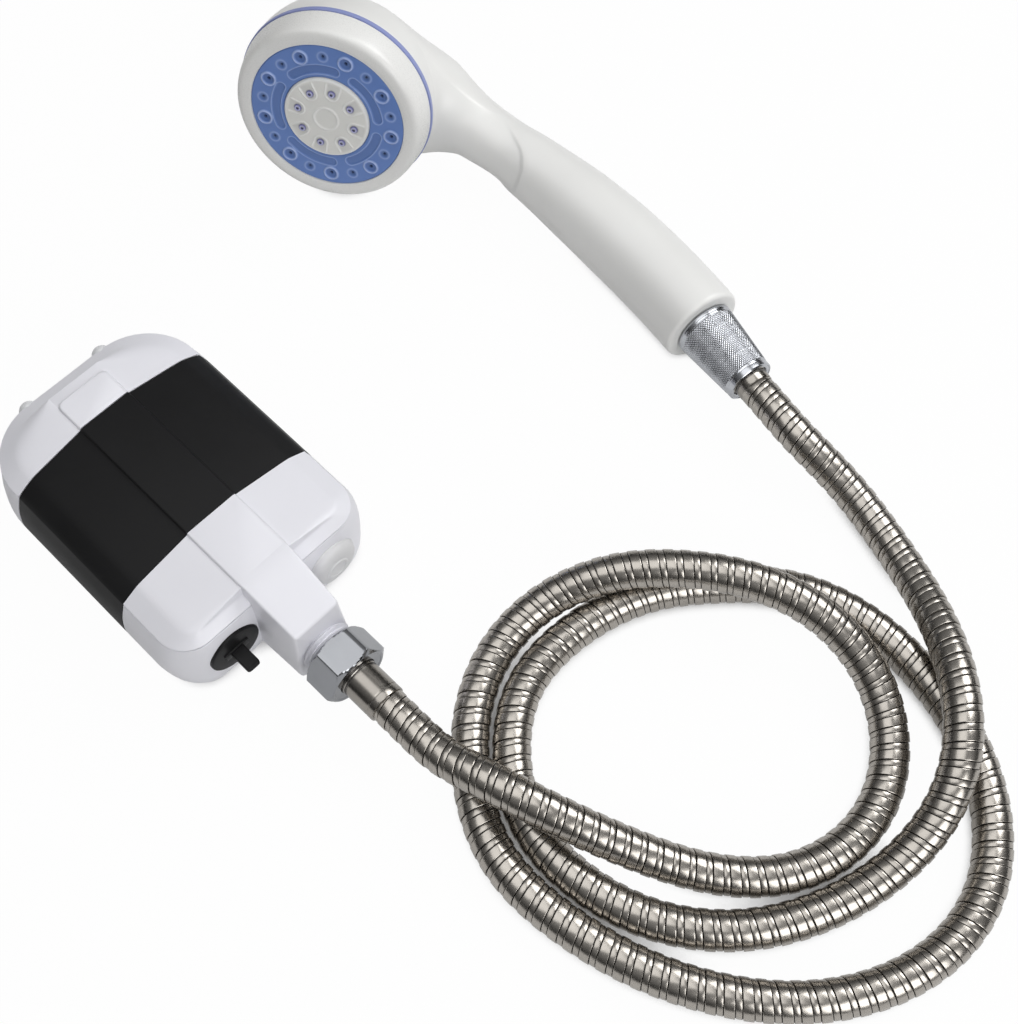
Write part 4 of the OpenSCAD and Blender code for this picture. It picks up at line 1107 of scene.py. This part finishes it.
class SHOWER_OT_fittings(bpy.types.Operator):
    """Turns the nuts and the ferrules at both ends of the hose"""

    bl_idname = "shower.fittings"
    bl_label = "Nuts and ferrules"

    def execute(self, context):
        chrome = polished("nut_chrome", tint("chrome"), 0.14, 2400.0, 0.01)
        steel = polished("ferrule_steel", shade(tint("steel"), 0.78), 0.22, 2400.0, 0.01)
        self.hex_nut(chrome)
        self.ferrules(steel)
        self.cone_nut(polished("knurl_chrome", shade(tint("chrome"), 1.75), 0.2))
        return {"FINISHED"}

    def hex_nut(self, chrome):
        half = 12.0
        corner = half / math.cos(math.pi / 6)
        length = 13.4
        bevel = 1.5
        face_inset = 0.35
        corner_cut = 0.22
        sides = 96
        lower = [0, 0.35, 0.7, 1.05, 1.4, 1.7, 2.0, 4]
        rings = []
        for h in [*lower, length / 2, *(length - h for h in reversed(lower))]:
            edge = min(h, length - h)
            cone = half - face_inset + min(edge / bevel, 1.0) * (corner + 0.2 - half)
            ring = []
            for k in range(sides):
                a = 2 * math.pi * k / sides
                turn = (a + math.pi / 6) % (math.pi / 3) - math.pi / 6
                r = min(half / math.cos(turn), corner - corner_cut, cone)
                ring.append((r * math.cos(a), r * math.sin(a), h))
            rings.append(ring)
        bore = [(10.9, length), (10.5, 13.15), (8.6, 13.15), (7.9, 13.0), (7.6, 12.6), (7.56, 11.8)]
        bore += [(10.46, 11.8), (10.46, 0.4), (10.9, 0.0)]
        rings += [circle(r, h, sides) for r, h in bore]
        form = Form().loft(rings, along_x(85.85), loop=True)
        make_piece("hexagon_nut", form, "hex_nut", chrome, ["hex_nut"], 20)

    def ferrules(self, steel):
        flange = [(4.5, 0.0), (9.0, 0.0), (9.2, 0.2), (9.2, 1.2), (9.0, 1.4), (7.5, 1.4)]
        tube = [(7.5, 1.5), (7.5, 3.6), (7.35, 3.8), (7.35, 4.2), (7.5, 4.4), (7.5, 14.6), (7.38, 14.8)]
        tube += [(7.38, 15.2), (7.5, 15.4), (7.5, 17.6), (7.4, 17.9), (7.1, 18.05)]
        profile = [*flange, *tube, (6.0, 18.05), (4.5, 17.0)]
        form = Form().turn(profile, along_x(95.95), 72, loop=True)
        make_piece("pump_sleeve", form, "shower_set", steel, ["pump_ferrule"], 30)
        flange = [(4.5, 14.7), (9.0, 14.7), (9.2, 14.9), (9.2, 15.9), (9.0, 16.1), (7.5, 16.1)]
        profile = [*flange, (7.5, 29.9), (7.0, 30.2), (7.0, 34.0), (6.8, 34.4), (6.0, 34.5), (4.5, 33.5)]
        form = Form().turn(profile, handle_end(), 72, loop=True)
        make_piece("head_sleeve", form, "shower_set", steel, ["head_ferrule"], 30)

    def cone_nut(self, chrome):
        start, end = 0.4, 30.9
        sides = 384
        wide = 12.2
        taper = 2.5
        knurls = 64
        lead = 1.25
        depth = 0.26
        flat = 0.6
        heights = [start, 0.55, 0.8, 1.2, 2.0, 2.35, 2.5, 2.9, 3.05]
        heights += [3.2 + 0.16 * k for k in range(153)]
        heights += [27.75, 27.95, 28.1, 28.5, 28.65, 29.2, 30.1, 30.5, 30.75, end]
        rings = []
        for h in heights:
            share = min(max((h - 1.9) / 27.5, 0.0), 1.0)
            cone = wide - taper * share
            edge = min(h - start, end - h)
            cone -= 0.45 * fall(0.0, 0.45, edge)
            groove = max(bell(2.7, 0.25, h), bell(28.3, 0.25, h))
            body = ramp(3.1, 3.5, h) * fall(27.3, 27.7, h)
            ring = []
            for k in range(sides):
                a = 2 * math.pi * k / sides
                left = abs(((knurls * a / (2 * math.pi) + h / lead) % 1.0) * 2 - 1)
                right = abs(((knurls * a / (2 * math.pi) - h / lead) % 1.0) * 2 - 1)
                r = cone - 0.4 * groove - depth * body * (1 - min(left, right, flat) / flat)
                ring.append((r * math.cos(a), r * math.sin(a), h))
            rings.append(ring)
        bore = [(9.0, 30.6), (7.9, 30.6), (7.6, 30.3), (7.56, 16.6), (10.46, 16.6), (10.46, 0.8)]
        bore.append((11.2, 0.42))
        rings += [circle(r, h, sides) for r, h in bore]
        form = Form().loft(rings, handle_end(), loop=True)
        make_piece("knurled_nut", form, "cone_nut", chrome, ["cone_nut"], 40)


def mesh_points(mesh):
    """A mesh's points, one in a row."""
    points = numpy.empty(len(mesh.vertices) * 3)
    mesh.vertices.foreach_get("co", points)
    return points.reshape(-1, 3)


def move_points(mesh, points):
    mesh.vertices.foreach_set("co", points.ravel())
    mesh.update()


def soft_least(first, second, width):
    """The lesser of two distances, rolled over within the width."""
    share = numpy.clip(0.5 + 0.5 * (second - first) / width, 0.0, 1.0)
    return second + (first - second) * share - width * share * (1 - share)


class SHOWER_OT_handle(bpy.types.Operator):
    """Moulds the handle and the domed back of the head as one"""

    bl_idname = "shower.handle"
    bl_label = "Handle"

    def execute(self, context):
        form = Form()
        profile = []
        steps = 40
        for k in range(steps + 1):
            a = math.pi / 2 * k / steps
            r = DOME_R * max(math.cos(a), 0.0) ** (2 / DOME_ACROSS)
            profile.append((r, DOME_TOP - DOME_H * math.sin(a) ** (2 / DOME_DEEP)))
        form.turn([(0, DOME_TOP), (36.0, DOME_TOP), *profile], None, 120)
        rings = []
        sides = 72
        count = 130
        for i in range(count + 1):
            share = ROOT + 0.001 + (0.999 - ROOT) * i / count
            point, slope = handle_point(share)
            r = smooth(HANDLE_STATIONS, share) / 2
            up = Vector((-math.sin(slope), 0, math.cos(slope)))
            angles = [2 * math.pi * k / sides for k in range(sides)]
            rings.append([point + r * (Vector((0, math.cos(a), 0)) + up * math.sin(a)) for a in angles])
        form.loft(rings)
        white = moulded("handset_white", tint("handset"), 0.3, 0.04)
        piece = make_piece("handle", form, "shower_set", white, ["handle_body"])
        change = piece.modifiers.new("Blend", "REMESH")
        change.mode = "VOXEL"
        change.voxel_size = sizes().blend_voxel
        sharp = 60
        settle(piece, sharp)
        self.fair(piece.data)
        piece.data.transform(Matrix.Scale(MM, 4) @ HANDSET @ Matrix.Scale(1 / MM, 4))
        self.keep_inside(piece.data)
        finish_mesh(piece.data, sharp)
        return {"FINISHED"}

    def fair(self, mesh):
        """Draws the grid onto the moulded form."""
        points = mesh_points(mesh) / MM
        edges = numpy.empty(len(mesh.edges) * 2, dtype=int)
        mesh.edges.foreach_get("vertices", edges)
        edges = edges.reshape(-1, 2)
        passes = 5
        for _ in range(passes):
            self.relax(points, edges)
            points = self.drawn(self.drawn(points))
        move_points(mesh, points * MM)

    def drawn(self, points):
        """The points moved to where the distance is nil."""
        step = 0.05
        farthest = 1.5
        height = self.distance(points)
        slope = numpy.empty_like(points)
        for axis in range(3):
            aside = numpy.zeros(3)
            aside[axis] = step
            rise = self.distance(points + aside) - self.distance(points - aside)
            slope[:, axis] = rise / (2 * step)
        steep = numpy.maximum((slope**2).sum(axis=1), 0.2)
        move = (height / steep)[:, None] * slope
        return points - numpy.clip(move, -farthest, farthest)

    def distance(self, points):
        """How far points are outside the dome and the handle, with a rolled neck between them."""
        x, y, z = points.T
        depth = numpy.maximum((DOME_TOP - z) / DOME_H, 0.0)
        across = numpy.hypot(x, y) / DOME_R
        shape = across**DOME_ACROSS + depth**DOME_DEEP - 1
        slope_across = DOME_ACROSS * across ** (DOME_ACROSS - 1) / DOME_R
        slope_deep = DOME_DEEP * depth ** (DOME_DEEP - 1) / DOME_H
        dome = shape / numpy.maximum(numpy.hypot(slope_across, slope_deep), 0.02)
        rim_roll = 0.6
        dome = -soft_least(-dome, DOME_TOP - z, rim_roll)
        rim_clear = 1
        growth = 12
        grown = numpy.clip((DOME_TOP - rim_clear - z) / growth, 0.0, 1.0)
        width = 0.4 + sizes().neck_roll / MM * grown
        return soft_least(dome, self.tube(x, y, z), width)

    def tube(self, x, y, z):
        """How far points are outside the handle alone."""
        middle_x = NECK_X - ARC_R * math.sin(SLOPE_0)
        middle_z = NECK_Z + ARC_R * math.cos(SLOPE_0)
        share = (numpy.arctan2(x - middle_x, middle_z - z) - SLOPE_0) / (SLOPE_1 - SLOPE_0)
        rise = ARC_R - numpy.hypot(x - middle_x, z - middle_z)
        along = (x - NECK_X) * math.cos(SLOPE_0) + (z - NECK_Z) * math.sin(SLOPE_0)
        over = (z - NECK_Z) * math.cos(SLOPE_0) - (x - NECK_X) * math.sin(SLOPE_0)
        straight = share < 0
        share = numpy.where(straight, along / HANDLE_L, share)
        rise = numpy.where(straight, over, rise)
        places = numpy.linspace(ROOT, 1.0, 600)
        radii = [smooth(HANDLE_STATIONS, place) / 2 for place in places]
        off = numpy.hypot(rise, y)
        wall = numpy.where(straight, self.root(off, along), off - numpy.interp(share, places, radii))
        wall += self.thumb_rest(share, numpy.degrees(numpy.arctan2(numpy.abs(y), rise)))
        end_roll = 1.8
        return -soft_least(-wall, (1 - share) * HANDLE_L, end_roll)

    def root(self, off, along):
        """How far points are outside the rounded nose that the handle ends in, within the head."""
        half = smooth(HANDLE_STATIONS, 0.0) / 2
        long = -ROOT * HANDLE_L
        size = numpy.hypot(off / half, along / long)
        slope = numpy.hypot(off / half**2, along / long**2)
        return size * (size - 1) / numpy.maximum(slope, 1e-6)

    def thumb_rest(self, share, angle):
        """How deep the scoop on the neck is, up to 1; it ends in a curved edge where the grip starts."""
        angles, places = zip(*THUMB_EDGE)
        edge = numpy.interp(angle, angles, places)
        side_end = 105
        start = 0.17
        slope_in = 0.15
        slope_out = 0.016
        deep = numpy.clip(1 - angle / side_end, 0.0, 1.0) ** 0.7
        enter = numpy.clip((share - edge + start) / slope_in, 0.0, 1.0)
        leave = numpy.clip((share - edge + slope_out / 2) / slope_out, 0.0, 1.0)
        return deep * enter**2 * (3 - 2 * enter) * (1 - leave**2 * (3 - 2 * leave))

    def relax(self, points, edges):
        """Moves each point halfway to the mean of its neighbours, twice."""
        weight = 0.5
        rounds = 2
        count = len(points)
        ends = numpy.concatenate([edges[:, 0], edges[:, 1]])
        starts = numpy.concatenate([edges[:, 1], edges[:, 0]])
        share = numpy.bincount(ends, minlength=count)
        for _ in range(rounds):
            for axis in range(3):
                total = numpy.bincount(ends, weights=points[starts, axis], minlength=count)
                points[:, axis] += weight * (total / share - points[:, axis])

    def keep_inside(self, mesh):
        """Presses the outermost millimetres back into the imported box."""
        points = mesh_points(mesh)
        band = 0.004
        margin = 0.00002
        for axis in range(3):
            for side, sign in ((0, -1), (1, 1)):
                limit = sign * cad_box[side][axis] - margin
                reach = sign * points[:, axis]
                over = reach.max() - limit
                if over > 0:
                    deep = reach > limit - band
                    reach[deep] = limit - band + (reach[deep] - limit + band) * band / (band + over)
                    points[:, axis] = sign * reach
        move_points(mesh, points)


def polar_form(heights, r0, r1, rings, sides):
    """A round plate whose face follows heights(r, angle), closed behind."""
    levels = []
    painted_lights = []
    for i in range(rings + 1):
        r = r0 + (r1 - r0) * i / rings
        level = []
        for k in range(sides):
            a = 2 * math.pi * k / sides
            z, tone = heights(r, a)
            level.append((r * math.cos(a), r * math.sin(a), z))
            painted_lights.append(tone)
        levels.append(level)
    for r in (r1, r0):
        levels.append(circle(r, PLATE_BACK, sides))
        painted_lights += [0.3] * sides
    return Form().loft(levels, HANDSET, painted_lights, loop=True)


class SHOWER_OT_spray_face(bpy.types.Operator):
    """Makes the bezel, the seam line, the blue nozzle ring, the centre disc and its nozzles"""

    bl_idname = "shower.spray_face"
    bl_label = "Spray face"

    def execute(self, context):
        self.bezel()
        self.seam()
        self.ring()
        self.disc()
        self.tips()
        return {"FINISHED"}

    def bezel(self):
        outer = [
            (31.95, -2.4), (31.95, -0.5), (32.05, -0.15), (32.3, 0.0), (34.0, 0.0), (35.4, -0.02),
            (36.3, -0.2), (37.1, -0.55), (37.75, -1.15), (38.25, -1.95), (38.57, -2.9), (38.87, -4.2),
            (39.4, -7.6), (39.82, -10.8), (39.9, -11.6), (39.86, -12.0), (39.65, -12.3), (39.3, -12.4),
        ]
        inner = [(36.9, -12.4), (36.9, -3.85), (30.6, -3.85), (30.6, -2.5), (31.9, -2.5)]
        form = Form().turn(outer + inner, HANDSET, 144, loop=True)
        white = moulded("bezel_white", tint("handset"), 0.28, 0.04)
        make_piece("bezel", form, "spray_face", white, ["spray_bezel"], 40)

    def seam(self):
        profile = [(36.2, -14.45), (40.1, -14.45), (40.33, -14.25)]
        profile += [(40.33, -12.65), (40.1, -12.45), (36.2, -12.45)]
        form = Form().turn(profile, HANDSET, 144, loop=True)
        blue = moulded("seam_blue", tint("seam"), 0.4)
        make_piece("seam_line", form, "shower_set", blue, ["seam_ring"], 40)

    def ring(self):
        large = [math.radians(5 + 40 * k) for k in range(9)]
        small = [a + math.radians(20) for a in large]
        large_reach = 4.5
        small_reach = 3.5
        slot_turn = 16
        slot_pitch = 72
        slot_start = 5
        slot_end = 55

        def heights(r, a):
            z = -0.4
            # Painted light: the rims of the nozzles and the slots' edges get painted highlights, the cups,
            # holes and slots painted shade
            tone = 0.5
            x, y = r * math.cos(a), r * math.sin(a)
            for c in large:
                d = math.hypot(x - NOZZLE_R * math.cos(c), y - NOZZLE_R * math.sin(c))
                if d < large_reach:
                    z += 0.75 * bell(2.75, 0.42, d) - 0.45 * fall(0.0, 2.4, d) - 0.9 * fall(0.45, 0.75, d)
                    tone += 0.5 * bell(2.8, 0.42, d) - 0.14 * fall(1.9, 2.5, d) - 0.36 * fall(0.5, 0.8, d)
            for c in small:
                d = math.hypot(x - NOZZLE_R * math.cos(c), y - NOZZLE_R * math.sin(c))
                if d < small_reach:
                    z += 0.14 * bell(2.0, 0.4, d) - 0.4 * fall(0.4, 1.8, d) - 0.7 * fall(0.35, 0.6, d)
                    tone += 0.22 * bell(2.1, 0.4, d) - 0.2 * fall(0.9, 1.8, d) - 0.35 * fall(0.4, 0.65, d)
            # Degrees past the nearer end of the nearest slot, and the distance from its middle line
            turn = (math.degrees(a) - slot_turn) % slot_pitch
            over = max(turn - slot_end, slot_start - turn, 0.0)
            over = min(over, abs(turn - slot_pitch) + slot_start)
            d = math.hypot(r - SLOT_R, math.radians(over) * r)
            z -= 0.36 * fall(1.45, 1.85, d)
            z += 0.14 * bell(2.15, 0.25, d)
            tone += 0.3 * bell(2.1, 0.22, d) - 0.1 * fall(1.5, 1.9, d)
            z -= 0.3 * ramp(31.4, RING_R, r) + 0.3 * fall(17.85, 18.3, r)
            return z, min(max(tone, 0.0), 1.0)

        form = polar_form(heights, RING_INNER_R, RING_R, 80, 900)
        blue = tint("ring")
        # Painted shade in the slots, cups and holes, painted highlights on the rims
        finish = painted_light_finish("ring_blue", shade(blue, 0.25), blue, paint(178, 197, 240), 0.34)
        make_piece("blue_ring", form, "spray_face", finish, ["nozzle_ring"], 70)

    def disc(self):
        places = [math.radians(45 * k) for k in range(8)]

        def heights(r, a):
            z = 0.1 + 0.6 * ramp(DISC_R, 17.1, r) + 0.45 * (1 - (r / DISC_R) ** 2)
            tone = 0.5
            x, y = r * math.cos(a), r * math.sin(a)
            loop = math.inf
            tip = math.inf
            for c in places:
                u = x * math.cos(c) + y * math.sin(c) - TIP_R
                v = y * math.cos(c) - x * math.sin(c)
                spread = 2.75 + 0.1 * max(u, 0.0)
                loop = min(loop, math.hypot(min(u, 0.0), v) - spread)
                tip = min(tip, math.hypot(u, v))
            inside = fall(15.6, 16.6, r)
            ridge = bell(0.0, 0.34, loop) * inside
            z += 0.32 * ridge - 0.12 * fall(-0.9, 0.0, loop) * inside
            z += 0.34 * bell(5.0, 0.5, r) - 0.1 * fall(3.8, 4.6, r)
            # Painted light: painted highlights on the hub ring, the ridges and the rim, painted shade in the
            # pockets and round the tips
            tone += 0.3 * bell(5.0, 0.5, r) + 0.36 * ridge - 0.08 * fall(-1.2, -0.4, loop) * inside
            tone += 0.35 * bell(17.0, 0.3, r) - 0.25 * fall(1.55, 2.0, tip)
            return z, min(max(tone, 0.0), 1.0)

        form = polar_form(heights, 0.02, DISC_R, 90, 480)
        # Painted shade in the pockets and round the tips, painted highlights on the ridges and the rim
        finish = painted_light_finish("disc_white", paint(150, 150, 155), paint(233, 233, 229), paint(250, 250, 249), 0.36)
        make_piece("face_disc", form, "spray_face", finish, ["centre_disc"], 70)

    def tips(self):
        form = Form()
        profile = [(0.0, 0.2), (0.5, 0.2), (0.5, 1.35), (0.62, 1.58), (0.85, 1.68), (1.15, 1.62), (1.38, 1.4)]
        profile += [(1.5, 1.0), (1.5, -2.6), (0.0, -2.6)]
        # Painted light: painted shade in the hole, painted highlight on the top of the rim
        painted_lights = [0.0, 0.0, 0.1, 0.6, 1.0, 0.8, 0.4, 0.25, 0.2, 0.2]
        for k in range(8):
            a = math.radians(45 * k)
            place = HANDSET @ Matrix.Translation((TIP_R * math.cos(a), TIP_R * math.sin(a), 0))
            form.turn(profile, place, 32, painted_lights=painted_lights)
        plate = [(8.0, -3.2), (15.0, -3.2), (15.0, -2.55), (8.0, -2.55)]
        form.turn(plate, HANDSET, 72, loop=True)
        # Painted shade in the holes, painted highlights on the rims
        finish = painted_light_finish("tip_violet", paint(30, 30, 70), paint(134, 136, 188), paint(204, 204, 232), 0.35)
        make_piece("nozzle_tips", form, "spray_face", finish, ["centre_nozzles"], 50)


class SHOWER_OT_inner(bpy.types.Operator):
    """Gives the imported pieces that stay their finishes"""

    bl_idname = "shower.inner"
    bl_label = "Inner pieces"

    def execute(self, context):
        finishes = {
            "intake_grille": moulded("grille_white", tint("pump"), 0.4),
            "shell_seal": rubber("seal_grey", paint(150, 150, 158), 0.6),
            "shell_screws": polished("screw_steel", tint("steel"), 0.3),
            "filter_foam": self.foam(),
            "motor": polished("motor_steel", tint("chrome"), 0.35),
            "motor_shaft": polished("shaft_steel", tint("steel"), 0.25),
            "battery_cell": moulded("cell_wrap", paint(60, 150, 110), 0.35),
            "circuit_board": moulded("board_green", paint(30, 96, 58), 0.45),
            "switch_body": moulded("switch_black", paint(32, 32, 34), 0.5),
            "charge_socket": moulded("socket_black", paint(34, 34, 36), 0.5),
            "pump_washer": rubber("washer_black", paint(30, 30, 30), 0.6),
            "handle_nipple": moulded("nipple_white", tint("handset"), 0.34),
            "face_screw": polished("face_steel", tint("steel"), 0.3),
        }
        white = moulded("works_white", paint(222, 222, 224), 0.4)
        grey = moulded("works_grey", paint(180, 180, 182), 0.45)
        black = rubber("seals_black", paint(30, 30, 30), 0.6)
        shared = {
            "pump_chamber": white, "delivery_tube": white, "impeller": grey, "bulkhead": grey,
            "battery_cradle": grey, "switch_plunger": grey, "face_plate": grey, "selector_disc": grey,
            "head_washer": black, "head_seal": black, "shaft_seal": black,
        }
        for name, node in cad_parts.items():
            if node.hide_render:
                continue
            material = finishes.get(name) or shared.get(name)
            if material is None:
                raise RuntimeError(f"no finish for the packed piece {name}")
            node.data.materials.clear()
            node.data.materials.append(material)
        return {"FINISHED"}

    def foam(self):
        finish = Finish("foam_black", IOR=1.4)
        cells = finish.spots(900.0, 4.0)
        finish.set("Base Color", finish.blend(cells, (0.006, 0.006, 0.007), (0.05, 0.05, 0.052)))
        finish.set("Roughness", 0.75 + 0.2 * cells)
        finish.set("Normal", finish.bump(cells, 0.8, 0.0008))
        return finish.material


class SHOWER_PT_panel(bpy.types.Panel):
    """Lists the pieces, sizes and colours"""

    bl_label = "Shower pump"
    bl_idname = "SHOWER_PT_panel"
    bl_space_type = "VIEW_3D"
    bl_region_type = "UI"
    bl_category = "Shower pump"

    def draw(self, context):
        layout = self.layout
        for group in (context.scene.shower_sizes, context.scene.shower_colours):
            for name in group.__annotations__:
                layout.prop(group, name)
        for operator in OPERATORS:
            layout.operator(operator.bl_idname)


OPERATORS = [
    SHOWER_OT_stage, SHOWER_OT_hose, SHOWER_OT_shells, SHOWER_OT_band, SHOWER_OT_spout, SHOWER_OT_controls,
    SHOWER_OT_feet, SHOWER_OT_fittings, SHOWER_OT_handle, SHOWER_OT_spray_face, SHOWER_OT_inner,
]
CLASSES = [ShowerColours, ShowerSizes, *OPERATORS, SHOWER_PT_panel]


def register():
    for item in CLASSES:
        bpy.utils.register_class(item)
    bpy.types.Scene.shower_colours = bpy.props.PointerProperty(type=ShowerColours)
    bpy.types.Scene.shower_sizes = bpy.props.PointerProperty(type=ShowerSizes)


def unregister():
    del bpy.types.Scene.shower_sizes
    del bpy.types.Scene.shower_colours
    for item in reversed(CLASSES):
        bpy.utils.unregister_class(item)


def main():
    register()
    bpy.ops.shower.stage()
    bpy.ops.shower.hose()
    bpy.ops.shower.shells()
    bpy.ops.shower.band()
    bpy.ops.shower.spout()
    bpy.ops.shower.controls()
    bpy.ops.shower.feet()
    bpy.ops.shower.fittings()
    bpy.ops.shower.handle()
    bpy.ops.shower.spray_face()
    bpy.ops.shower.inner()
    bpy.context.view_layer.update()


if __name__ == "__main__":
    main()
